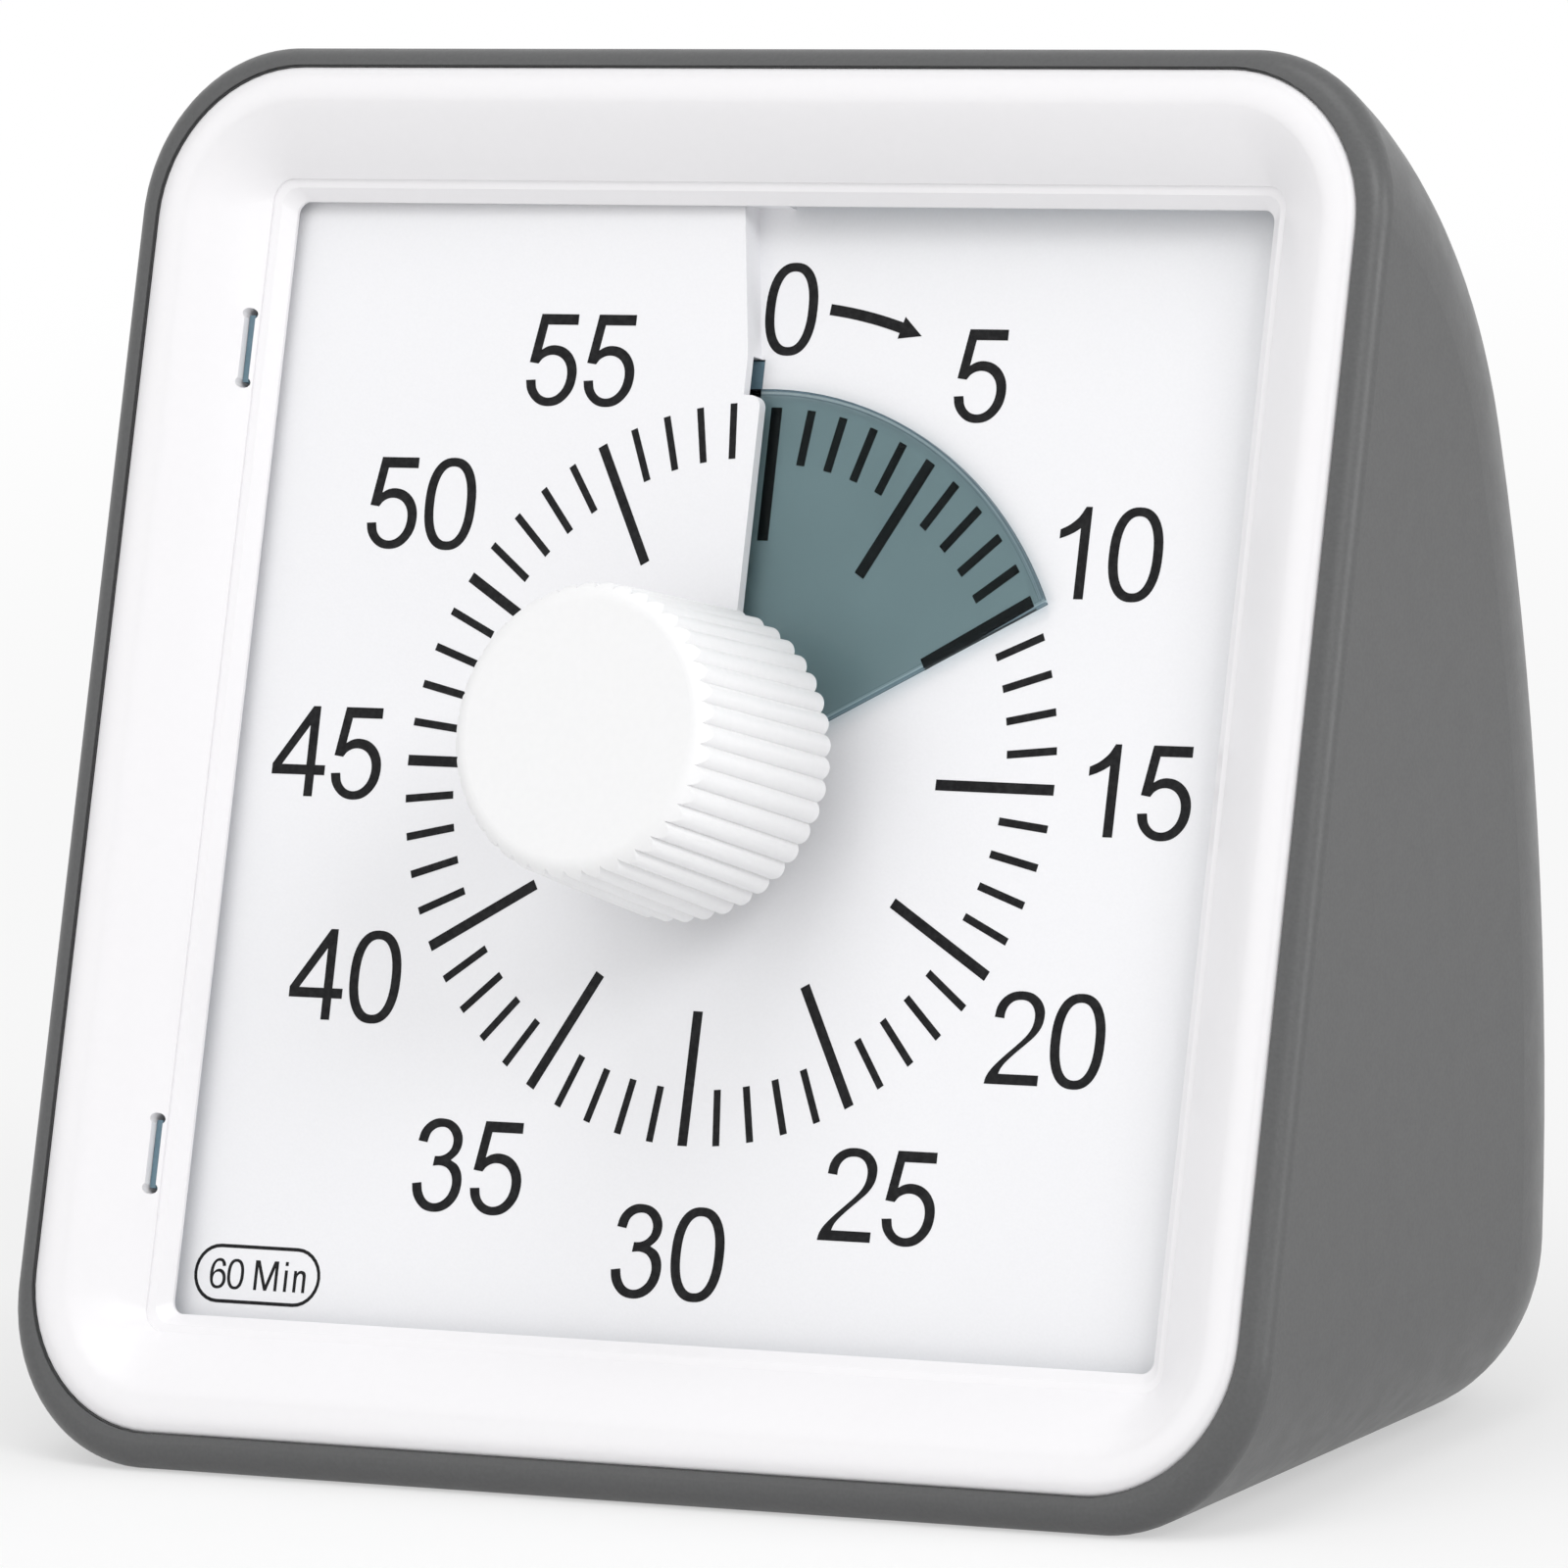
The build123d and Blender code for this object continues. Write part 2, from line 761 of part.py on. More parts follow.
with BuildPart() as dial_plate:
    add(dial_sheet)
    with BuildSketch(face.offset(chassis_front)):
        with BuildLine():
            notch_edge = Polyline(
                (-slit_corner, slit_length),
                (-slit_step, slit_length),
                (-slit_step, slit_end),
                (-step_shift, step_top),
                (0, step_top),
                (0, slit_length - slit_corner),
            )
            RadiusArc(notch_edge @ 0, notch_edge @ 1, slit_corner)
        make_face()
    extrude(amount=-2 * chassis_front, mode=Mode.SUBTRACT)
    add(step_floor.part)
    with BuildSketch(face.offset(-ramp / 2 - dial_thickness / 2)):
        with BuildLine():
            Polyline(
                (-slit_step, slit_end),
                (-step_shift, step_top),
                (-step_shift - step_wall, step_top),
                (-slit_step - step_wall, slit_end),
                close=True,
            )
        make_face()
    extrude(amount=ramp)
    add(dial_skirt.part)
    with BuildSketch(face.offset(chassis_front)):
        with Locations(middle(dial_region)):
            RectangleRounded(*extent(dial_region), dial_corner)
    extrude(amount=-2 * chassis_front, mode=Mode.INTERSECT)
dial_plate.part.label = "dial_plate"
export_step(dial_plate.part, "parts/dial_plate.step")

# ---- time disc and its hub ----------------------------------------------------------

disc_start = disc_setting + disc_lead - disc_span
time_disc_form = helicoid(
    hub_radius,
    disc_radius,
    disc_thickness,
    disc_start,
    disc_span,
    disc_gap + disc_thickness,
)
with BuildPart() as time_disc:
    add(time_disc_form)
time_disc.part.label = "time_disc"
export_step(time_disc.part, "parts/time_disc.step")


def flatted_circle(radius, flat):
    """Round section with one flat, as on a D-shaped shaft."""
    with BuildSketch() as section:
        Circle(radius)
        with Locations((flat + radius, 0)):
            Rectangle(2 * radius, 4 * radius, mode=Mode.SUBTRACT)
    return section.sketch


hub_bore = flatted_circle(spindle_radius + sliding_fit, spindle_flat + sliding_fit)
with BuildPart() as disc_hub:
    with BuildSketch(face.offset(hub_bottom)):
        Circle(hub_radius)
        add(hub_bore, mode=Mode.SUBTRACT)
    extrude(amount=hub_top - hub_bottom)
disc_hub.part.label = "disc_hub"
export_step(disc_hub.part, "parts/disc_hub.step")

# ---- knob and spindle ---------------------------------------------------------------


def ribbed_section(height, crest_radius):
    """Section across the knob: one arc for each rib, from valley over crest to valley."""
    pitch = 360 / knob_ribs
    valley = crest_radius - rib_depth
    with BuildSketch(face.offset(height)) as section:
        with BuildLine():
            for k in range(knob_ribs):
                ThreePointArc(
                    along((0, 0), pitch * (k - 0.5), valley),
                    along((0, 0), pitch * k, crest_radius),
                    along((0, 0), pitch * (k + 0.5), valley),
                )
        make_face()
    return section.sketch


with BuildPart() as knob_envelope:
    with BuildSketch(face.offset(knob_base)):
        Circle(knob_radius + same_place)
    with BuildSketch(face.offset(knob_front)):
        Circle(knob_front_radius + same_place)
    loft()
    fillet(
        knob_envelope.faces().sort_by(Axis(face.origin, face.z_dir))[-1].edges(),
        knob_edge,
    )

knob_inner = knob_front_radius - knob_wall
spindle_bore = flatted_circle(spindle_radius, spindle_flat)
with BuildPart() as knob:
    loft([ribbed_section(knob_base, knob_radius), ribbed_section(knob_front, knob_front_radius)])
    add(knob_envelope.part, mode=Mode.INTERSECT)
    with BuildSketch(face.offset(knob_base)):
        Circle(knob_inner)
    extrude(amount=knob_front - knob_wall - knob_base, mode=Mode.SUBTRACT)
    with BuildSketch(face.offset(knob_boss_bottom)):
        Circle(knob_boss_radius)
    extrude(amount=knob_front - knob_wall - knob_boss_bottom)
    with BuildSketch(face.offset(knob_boss_bottom)):
        add(spindle_bore)
    extrude(amount=spindle_top - knob_boss_bottom, mode=Mode.SUBTRACT)
knob.part.label = "knob"
export_step(knob.part, "parts/knob.step")

clutch_back = centre_front - wheel_thickness
clip_front = clutch_back - washer_thickness
spindle_shoulder = clip_front - clip_thickness
case_floor = case_back + case_wall
spindle_end = case_floor - pivot_depth
with BuildPart() as spindle:
    add(rod((0, 0), spindle_radius, spindle_top, spindle_shoulder))
    with BuildSketch(face.offset(chassis_front)):
        with Locations((spindle_flat + spindle_radius, 0)):
            Rectangle(2 * spindle_radius, 4 * spindle_radius)
    extrude(amount=spindle_top - chassis_front, mode=Mode.SUBTRACT)
    with BuildSketch(face.offset(spindle_shoulder)):
        Circle(spindle_radius)
        Circle(clip_opening / 2 + running_fit, mode=Mode.SUBTRACT)
    extrude(amount=clip_thickness, mode=Mode.SUBTRACT)
    add(rod((0, 0), spindle_pivot_radius, spindle_shoulder, spindle_end))
spindle.part.label = "spindle"
export_step(spindle.part, "parts/spindle.step")

with BuildPart() as spindle_clip:
    with BuildSketch(face.offset(clip_front)):
        Circle(clip_radius)
        Circle(clip_opening / 2 + running_fit, mode=Mode.SUBTRACT)
        with Locations((0, -clip_radius)):
            Rectangle(clip_opening, 2 * clip_radius, mode=Mode.SUBTRACT)
    extrude(amount=-clip_thickness)
spindle_clip.part.label = "spindle_clip"
export_step(spindle_clip.part, "parts/spindle_clip.step")

with BuildPart() as clutch_spring:
    with BuildSketch(face.offset(clutch_back)):
        Circle(clip_radius)
        Circle(spindle_radius, mode=Mode.SUBTRACT)
        with PolarLocations(clip_radius, washer_notches):
            Circle(washer_notch_radius, mode=Mode.SUBTRACT)
    extrude(amount=-washer_thickness)
clutch_spring.part.label = "clutch_spring"
export_step(clutch_spring.part, "parts/clutch_spring.step")

# ---- chassis, bush and screws -------------------------------------------------------

bush_back = case_front - case_wall
ear_screw_front = chassis_front - chassis_thickness / 2
with BuildPart() as chassis:
    with BuildSketch(face.offset(chassis_back)):
        with Locations(middle(rim_outer)):
            RectangleRounded(*extent(rim_outer), rim_corner)
        Circle(bush_radius, mode=Mode.SUBTRACT)
        with Locations(*chassis_posts):
            Circle(screw_radius, mode=Mode.SUBTRACT)
    extrude(amount=chassis_thickness)
    with BuildSketch(face.offset(chassis_front)):
        with Locations(middle(rim_outer)):
            RectangleRounded(*extent(rim_outer), rim_corner)
            RectangleRounded(*extent(rim_inner), dial_corner + chassis_gap, mode=Mode.SUBTRACT)
    extrude(amount=bezel_seat - chassis_front)
    with BuildSketch(face.offset(bezel_seat)):
        with Locations((slot_u, -hook_offset), (slot_u, hook_offset)):
            Rectangle(slot_width - 2 * tab_gap, slot_length - 2 * tab_gap)
    extrude(amount=tab_height)
    with BuildSketch(face.offset(chassis_back)):
        with Locations(*ear_points):
            Circle(screw_radius)
    extrude(amount=ear_screw_front - chassis_back, mode=Mode.SUBTRACT)
chassis.part.label = "chassis"
export_step(chassis.part, "parts/chassis.step")

with BuildPart() as spindle_bush:
    with BuildSketch(face.offset(bush_back)):
        Circle(bush_radius)
        Circle(spindle_radius + running_fit, mode=Mode.SUBTRACT)
    extrude(amount=chassis_front - bush_back)
spindle_bush.part.label = "spindle_bush"
export_step(spindle_bush.part, "parts/spindle_bush.step")

chassis_screw_forms = [
    screw(on_face(*point, chassis_front), face.z_dir, screw_grip) for point in chassis_posts
]
with BuildPart() as chassis_screws:
    add(chassis_screw_forms)
chassis_screws.part.label = "chassis_screws"
export_step(chassis_screws.part, "parts/chassis_screws.step")

# ---- movement -----------------------------------------------------------------------

train_axes = (third_axis, second_axis, rotor_axis)
with BuildPart() as movement_front_case:
    with BuildSketch(face.offset(case_joint)):
        with Locations((0, case_centre_v)):
            RectangleRounded(2 * case_half_width, case_height, case_corner)
    extrude(amount=case_front - case_joint)
    with BuildSketch(face.offset(case_front)):
        for point in ear_points:
            with Locations(point):
                Circle(ear_radius)
            with Locations((point[0] * (1 - ear_reach / abs(point[0]) / 2), point[1])):
                Rectangle(ear_reach, 2 * ear_radius)
    extrude(amount=-ear_thickness)
    with BuildSketch(face.offset(case_joint)):
        with Locations((0, case_centre_v)):
            RectangleRounded(
                2 * (case_half_width - case_wall),
                case_height - 2 * case_wall,
                case_corner - case_wall,
            )
    extrude(amount=case_front - case_wall - case_joint, mode=Mode.SUBTRACT)
    with BuildSketch(face.offset(case_front)):
        Circle(bush_radius)
        with Locations(*ear_points):
            Circle(screw_radius)
    extrude(amount=-ear_thickness, mode=Mode.SUBTRACT)
    with BuildSketch(face.offset(case_front - case_wall)):
        with Locations(*train_axes):
            Circle(arbor_radius + running_fit)
    extrude(amount=pivot_depth + running_fit, mode=Mode.SUBTRACT)
movement_front_case.part.label = "movement_front_case"
export_step(movement_front_case.part, "parts/movement_front_case.step")

with BuildPart() as movement_rear_case:
    with BuildSketch(face.offset(case_back)):
        with Locations((0, case_centre_v)):
            RectangleRounded(2 * case_half_width, case_height, case_corner)
    extrude(amount=case_joint - case_back)
    with BuildSketch(face.offset(case_floor)):
        with Locations((0, case_centre_v)):
            RectangleRounded(
                2 * (case_half_width - case_wall),
                case_height - 2 * case_wall,
                case_corner - case_wall,
            )
    extrude(amount=case_joint - case_floor, mode=Mode.SUBTRACT)
    with BuildSketch(face.offset(case_floor)):
        with Locations(*train_axes):
            Circle(arbor_radius + running_fit)
    extrude(amount=-pivot_depth - running_fit, mode=Mode.SUBTRACT)
    with BuildSketch(face.offset(case_floor)):
        Circle(spindle_pivot_radius + running_fit)
    extrude(amount=-pivot_depth - running_fit, mode=Mode.SUBTRACT)
movement_rear_case.part.label = "movement_rear_case"
export_step(movement_rear_case.part, "parts/movement_rear_case.step")

ear_grip = ear_thickness + ear_screw_front - case_front
movement_screw_forms = [
    screw(on_face(*point, case_front - ear_thickness), -face.z_dir, ear_grip)
    for point in ear_points
]
with BuildPart() as movement_screws:
    add(movement_screw_forms)
movement_screws.part.label = "movement_screws"
export_step(movement_screws.part, "parts/movement_screws.step")

arbor_front = case_front - case_wall + pivot_depth
arbor_back = case_floor - pivot_depth
centre_wheel_form = gear(
    (0, 0),
    centre_teeth,
    third_bearing,
    centre_front,
    wheel_thickness,
    spindle_radius + running_fit,
)
with BuildPart() as centre_wheel:
    add(centre_wheel_form)
centre_wheel.part.label = "centre_wheel"
export_step(centre_wheel.part, "parts/centre_wheel.step")

pinion_length = wheel_thickness + 2 * pinion_overhang
third_forms = [
    gear(third_axis, third_teeth, second_bearing, third_front, wheel_thickness),
    gear(
        third_axis,
        third_pinion_teeth,
        third_bearing + 180 + 180 / third_pinion_teeth,
        centre_front + pinion_overhang,
        pinion_length,
    ),
    rod(third_axis, arbor_radius, arbor_front, arbor_back),
]
with BuildPart() as third_wheel:
    add(third_forms)
third_wheel.part.label = "third_wheel"
export_step(third_wheel.part, "parts/third_wheel.step")

second_forms = [
    gear(second_axis, second_teeth, rotor_bearing, second_front, wheel_thickness),
    gear(
        second_axis,
        second_pinion_teeth,
        second_bearing + 180 + 180 / second_pinion_teeth,
        third_front + pinion_overhang,
        pinion_length,
    ),
    rod(second_axis, arbor_radius, arbor_front, arbor_back),
]
with BuildPart() as second_wheel:
    add(second_forms)
second_wheel.part.label = "second_wheel"
export_step(second_wheel.part, "parts/second_wheel.step")

rotor_forms = [
    gear(
        rotor_axis,
        rotor_pinion_teeth,
        rotor_bearing + 180 + 180 / rotor_pinion_teeth,
        second_front + pinion_overhang,
        pinion_length,
    ),
    rod(rotor_axis, arbor_radius, arbor_front, arbor_back),
]
with BuildPart() as rotor_pinion:
    add(rotor_forms)
rotor_pinion.part.label = "rotor_pinion"
export_step(rotor_pinion.part, "parts/rotor_pinion.step")

with BuildPart() as rotor_magnet:
    with BuildSketch(face.offset(rotor_back)):
        with Locations(rotor_axis):
            Circle(rotor_radius)
            Circle(arbor_radius, mode=Mode.SUBTRACT)
    extrude(amount=rotor_front - rotor_back)
rotor_magnet.part.label = "rotor_magnet"
export_step(rotor_magnet.part, "parts/rotor_magnet.step")

coil_v = case_bottom + case_wall + coil_radius + running_fit
coil_axis_h = stator_front + core_thickness / 2
core_reach = coil_length / 2 + stator_rim
stator_left = rotor_axis[0] - rotor_radius - stator_gap - stator_rim
stator_top = rotor_axis[1] + rotor_radius + stator_gap + stator_rim
bridge_v = coil_v + coil_radius + stator_rim
with BuildPart() as stator:
    with BuildSketch(face.offset(stator_front)):
        with BuildLine():
            Polyline(
                (stator_left, stator_top),
                (stator_left, coil_v - core_width / 2),
                (-coil_length / 2, coil_v - core_width / 2),
                (-coil_length / 2, bridge_v - stator_rim / 2),
                (coil_length / 2, bridge_v - stator_rim / 2),
                (coil_length / 2, coil_v - core_width / 2),
                (core_reach, coil_v - core_width / 2),
                (core_reach, bridge_v + stator_rim / 2),
                (-coil_length / 2, bridge_v + stator_rim / 2),
                (-coil_length / 2, stator_top),
                close=True,
            )
        make_face()
        with Locations(rotor_axis):
            Circle(rotor_radius + stator_gap, mode=Mode.SUBTRACT)
    extrude(amount=-stator_thickness)
stator.part.label = "stator"
export_step(stator.part, "parts/stator.step")

with BuildPart() as coil_core:
    with BuildSketch(face.offset(stator_front)):
        with Locations((0, coil_v)):
            Rectangle(2 * core_reach, core_width)
    extrude(amount=core_thickness)
coil_core.part.label = "coil_core"
export_step(coil_core.part, "parts/coil_core.step")

coil_centre = on_face(-coil_length / 2, coil_v, coil_axis_h)
with BuildPart() as coil:
    with BuildSketch(Plane(origin=coil_centre, x_dir=face.z_dir, z_dir=(1, 0, 0))):
        Circle(coil_radius)
        Rectangle(core_thickness, core_width, mode=Mode.SUBTRACT)
    extrude(amount=coil_length)
coil.part.label = "coil"
export_step(coil.part, "parts/coil.step")

# ---- battery and its contacts -------------------------------------------------------

battery_centre_y = dial_y + battery_y
battery_end = tray_half - contact_thickness
with BuildPart() as battery:
    with BuildSketch(Plane.YZ.offset(battery_end - battery_length)):
        with Locations((battery_centre_y, battery_height)):
            Circle(battery_radius)
    extrude(amount=battery_length - battery_nub_length)
    with BuildSketch(Plane.YZ.offset(battery_end - battery_nub_length)):
        with Locations((battery_centre_y, battery_height)):
            Circle(battery_nub_radius)
    extrude(amount=battery_nub_length)
battery.part.label = "battery"
export_step(battery.part, "parts/battery.step")

for name, edge in (
    ("battery_contact_positive", battery_end),
    ("battery_contact_negative", -tray_half),
):
    with BuildPart() as contact:
        with BuildSketch(Plane.YZ.offset(edge)):
            with Locations((battery_centre_y, battery_height)):
                Rectangle(contact_width, contact_height)
        extrude(amount=contact_thickness)
    contact.part.label = name
    export_step(contact.part, f"parts/{name}.step")

spring_start = -battery_end + spring_wire
spring_run = battery_end - battery_length - spring_wire - spring_start
with BuildPart() as battery_spring:
    with BuildLine() as spring_path:
        Helix(
            pitch=spring_run / spring_turns,
            height=spring_run,
            radius=battery_radius / 2,
            center=(spring_start, battery_centre_y, battery_height),
            direction=(1, 0, 0),
        )
    with BuildSketch(Plane(origin=spring_path.line @ 0, z_dir=spring_path.line % 0)):
        Circle(spring_wire)
    sweep(path=spring_path.line, is_frenet=True)
battery_spring.part.label = "battery_spring"
export_step(battery_spring.part, "parts/battery_spring.step")

# ---- battery door -------------------------------------------------------------------

with BuildPart() as battery_door:
    extrude(side_view(0), amount=door_half - door_gap, both=True)
    extrude(side_view(door_thickness), amount=door_half, both=True, mode=Mode.SUBTRACT)
    extrude(door_wedge(door_gap), amount=door_half, both=True, mode=Mode.INTERSECT)
    add(hinge_rod(door_thickness / 2, door_half - door_gap))
    add(hinge_rod(hinge_pin_radius, door_half + hinge_pin_reach))
    add(thumb_grip.part, mode=Mode.SUBTRACT)
battery_door.part.label = "battery_door"
export_step(battery_door.part, "parts/battery_door.step")

# ---- circuit board and what it carries ----------------------------------------------

with BuildPart() as circuit_board:
    with BuildSketch(upright(board_back)):
        with Locations((0, board_centre_z)):
            Rectangle(board_width, board_height)
        with Locations(*board_posts):
            Circle(screw_radius, mode=Mode.SUBTRACT)
    extrude(amount=board_thickness)
circuit_board.part.label = "circuit_board"
export_step(circuit_board.part, "parts/circuit_board.step")

board_screw_forms = [
    screw((x, board_front, z), (0, -1, 0), screw_grip) for x, z in board_posts
]
with BuildPart() as board_screws:
    add(board_screw_forms)
board_screws.part.label = "board_screws"
export_step(board_screws.part, "parts/board_screws.step")

with BuildPart() as control_chip:
    with BuildSketch(upright(board_front)):
        with Locations((chip_x, board_bottom + chip_rise)):
            Rectangle(chip_size, chip_size)
    extrude(amount=chip_height)
control_chip.part.label = "control_chip"
export_step(control_chip.part, "parts/control_chip.step")

crystal_start = (crystal_x, board_front - crystal_radius, board_bottom + chip_rise)
with BuildPart() as quartz_crystal:
    with BuildSketch(Plane(origin=crystal_start, x_dir=(0, 1, 0), z_dir=(-1, 0, 0))):
        Circle(crystal_radius)
    extrude(amount=crystal_length)
quartz_crystal.part.label = "quartz_crystal"
export_step(quartz_crystal.part, "parts/quartz_crystal.step")

with BuildPart() as buzzer:
    with BuildSketch(upright(board_back)):
        with Locations((buzzer_x, fittings_height)):
            Circle(buzzer_radius)
    extrude(amount=-buzzer_height)
    with BuildSketch(upright(board_back + buzzer_height)):
        with Locations((buzzer_x, fittings_height)):
            Circle(buzzer_port_radius)
    extrude(amount=buzzer_height / 2, mode=Mode.SUBTRACT)
buzzer.part.label = "buzzer"
export_step(buzzer.part, "parts/buzzer.step")

with BuildPart() as switch_housing:
    with BuildSketch(upright(board_back)):
        with Locations((switch_x, fittings_height)):
            Rectangle(switch_length, switch_width)
    extrude(amount=-switch_depth)
    with BuildSketch(upright(board_back + switch_wall)):
        with Locations((switch_x, fittings_height)):
            Rectangle(*slot_size)
    extrude(amount=-switch_depth, mode=Mode.SUBTRACT)
switch_housing.part.label = "switch_housing"
export_step(switch_housing.part, "parts/switch_housing.step")

slider_x = switch_x - switch_travel / 2
slider_back = board_back + switch_wall + slider_clearance
head_front = pocket_floor + slider_clearance
with BuildPart() as switch_slider:
    with BuildSketch(upright(slider_back)):
        with Locations((slider_x, fittings_height)):
            Rectangle(slider_stem, slider_stem)
    extrude(amount=slider_back - head_front)
    with BuildSketch(upright(head_front)):
        with Locations((slider_x, fittings_height)):
            Rectangle(slider_head, slider_head)
    extrude(amount=-slider_head_height)
    with BuildSketch(upright(head_front + slider_head_height)):
        with GridLocations(slider_head / slider_ribs, 0, slider_ribs, 1):
            with Locations((slider_x, fittings_height)):
                Rectangle(slider_head / slider_ribs / 2, slider_head)
    extrude(amount=-slider_head_height / 2)
switch_slider.part.label = "switch_slider"
export_step(switch_slider.part, "parts/switch_slider.step")
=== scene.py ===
import json
import math

import bmesh
import bpy
from mathutils import Matrix, Vector
from mathutils.geometry import tessellate_polygon


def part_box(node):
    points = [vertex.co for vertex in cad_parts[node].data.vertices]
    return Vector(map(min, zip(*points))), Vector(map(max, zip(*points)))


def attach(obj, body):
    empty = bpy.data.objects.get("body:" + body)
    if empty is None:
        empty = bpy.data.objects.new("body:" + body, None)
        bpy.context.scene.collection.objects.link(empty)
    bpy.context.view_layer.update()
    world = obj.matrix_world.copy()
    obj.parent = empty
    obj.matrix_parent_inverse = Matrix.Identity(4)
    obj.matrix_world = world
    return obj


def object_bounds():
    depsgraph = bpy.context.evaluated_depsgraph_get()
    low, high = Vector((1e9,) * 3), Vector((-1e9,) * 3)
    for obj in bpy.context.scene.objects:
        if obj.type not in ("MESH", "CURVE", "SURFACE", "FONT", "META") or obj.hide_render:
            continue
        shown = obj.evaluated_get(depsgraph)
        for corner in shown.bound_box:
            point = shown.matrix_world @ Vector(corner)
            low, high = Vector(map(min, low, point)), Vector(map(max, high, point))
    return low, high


# A square countdown timer: grey shell, white bezel, ramped dial with printed marks, a
# tinted clear disc and a ribbed knob. Metres; the face frame below is in millimetres.

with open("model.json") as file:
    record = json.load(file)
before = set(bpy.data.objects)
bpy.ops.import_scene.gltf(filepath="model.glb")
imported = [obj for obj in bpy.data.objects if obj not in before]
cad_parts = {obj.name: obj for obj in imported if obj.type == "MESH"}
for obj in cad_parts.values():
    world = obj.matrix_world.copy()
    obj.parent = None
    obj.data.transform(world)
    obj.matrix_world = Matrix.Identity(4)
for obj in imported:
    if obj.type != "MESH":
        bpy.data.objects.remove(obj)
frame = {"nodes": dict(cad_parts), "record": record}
cad_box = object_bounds()
nodes = frame["nodes"]
behaviour = frame["record"]["behaviour"]

MM = 0.001
WHITE = (1.0, 1.0, 1.0)

# ---- the dial's own frame -----------------------------------------------------------

knob_joint = next(j for j in behaviour["joints"] if j["name"] == "knob_turn")
knob_screw = next(c for c in behaviour["couplings"] if c["joint"] == "knob_turn")
DIAL = Vector(knob_joint["pos_m"])
OUT = -Vector(knob_joint["axis"]).normalized()
ACROSS = Vector((1.0, 0.0, 0.0))
UP_DIAL = OUT.cross(ACROSS)
RISE = 2 * math.pi / knob_screw["ratio"] / MM  # climb of the dial's surface in one turn

# marks on the dial, in millimetres of its frame
MARK_OUTER = 20.0
MARK_SHORT = 16.98
MARK_LONG = 12.77
MARK_SHORT_WIDTH = 0.42
MARK_LONG_WIDTH = 0.58
BOLD_MARKS = 10  # the first marks are printed bolder
BOLDER = 0.1
ZERO_MARK_SHIFT = 0.2  # the zero mark stands a little right of the slit
MARK_DRIFT = (  # the print's turn against the slit, mm clockwise at every fifth mark
    0.33, 0.22, 0.16, 0.16, 0.19, 0.26, 0.2, 0.1, 0.04, 0.1, 0.21, 0.34, 0.45
)
MARK_MIDDLE = 18.5  # radius at which the turn is measured
MINUTES = 60
LONG_EVERY = 5

# numerals, each with the middle of its ink
NUMERAL_HEIGHT = 4.95
NUMERAL_ADVANCE = 0.745
NUMERAL_CENTRES = {
    0: (0.41, 25.39),
    5: (12.73, 21.92),
    10: (21.8, 12.5),
    15: (25.18, -0.09),
    20: (21.25, -13.37),
    25: (12.18, -22.1),
    30: (-0.34, -25.71),
    35: (-13.41, -21.71),
    40: (-22.53, -11.73),
    45: (-25.23, 0.41),
    50: (-20.89, 14.19),
    55: (-11.61, 22.19),
}

# the arrow that points clockwise: angles in degrees from twelve o'clock
ARROW_RADIUS = 25.53
ARROW_START = 6.44
ARROW_NECK = 16.9
ARROW_TIP = 20.0
ARROW_WIDTH = 0.6
ARROW_BARB = 1.24
ARROW_STEPS = 10

# the range badge: a capsule with a text in it
BADGE_CENTRE = (-26.1, -28.26)
BADGE_SIZE = (8.14, 3.2)
BADGE_LINE = 0.19
BADGE_TEXT_START = 3.14  # from the badge's centre back to its first figure
BADGE_TEXT_HEIGHT = 1.62
BADGE_TEXT = (  # figures, and their places in heights of the text
    ("6", 0.0), ("0", 0.7), ("M", 1.84), ("i", 3.03), ("i_dot", 3.03), ("n", 3.4)
)
INK_ABOVE = 0.015
INK_BELOW = 0.02
SAME_POINT = 1e-4

# the disc's film
DISC_RADIUS = 20.9
DISC_EDGE_ANGLE = 62.5
FILM_RIM = 0.34
FILM_EDGE_SLACK = 0.02

# the joint between the bezel and the shell, filled with shell plastic
SEAM_LEVEL = 4.72
SEAM_WIDTH = 0.1
SEAM_FREE = 0.02  # bare strip on both sides of the filling
BEZEL_CORNER = 8.4

# carrier plastic beneath the slit's outer end: across, up and out of the dial
LINER = ((-2.9, -0.93), (21.0, 22.5), (-0.95, -0.8))
BOX_FACES = (  # by their corners, counted 4 for across, 2 for up and 1 for out
    (0, 1, 3, 2), (4, 6, 7, 5), (0, 4, 5, 1), (2, 3, 7, 6), (0, 2, 6, 4), (1, 5, 7, 3)
)

# ---- camera -------------------------------------------------------------------------

CAMERA_AZIMUTH = 31.88
CAMERA_ELEVATION = 9.36
CAMERA_ROLL = -3.71
CAMERA_DISTANCE = 0.693
CAMERA_LENS = 298.7
SENSOR = 36.0
IMAGE_SIZE = 1600
DIAL_PIXEL = (741.4, 790.2)  # where the dial's centre lies in the picture
CLIP_START = 0.01
CLIP_END = 20.0


def on_face(u, v, h):
    """World position of a point given in millimetres across, up and out of the dial."""
    return DIAL + MM * (u * ACROSS + v * UP_DIAL + h * OUT)


def dial_level(u, v):
    """Height of the dial's surface, which climbs clockwise from twelve o'clock."""
    return -RISE / 2 + RISE * (math.degrees(math.atan2(u, v)) % 360) / 360


def low_level(u, v):
    """Height of the dial's lowest part, carried on past the slit at twelve o'clock."""
    return -RISE / 2 + RISE * math.degrees(math.atan2(u, v)) / 360


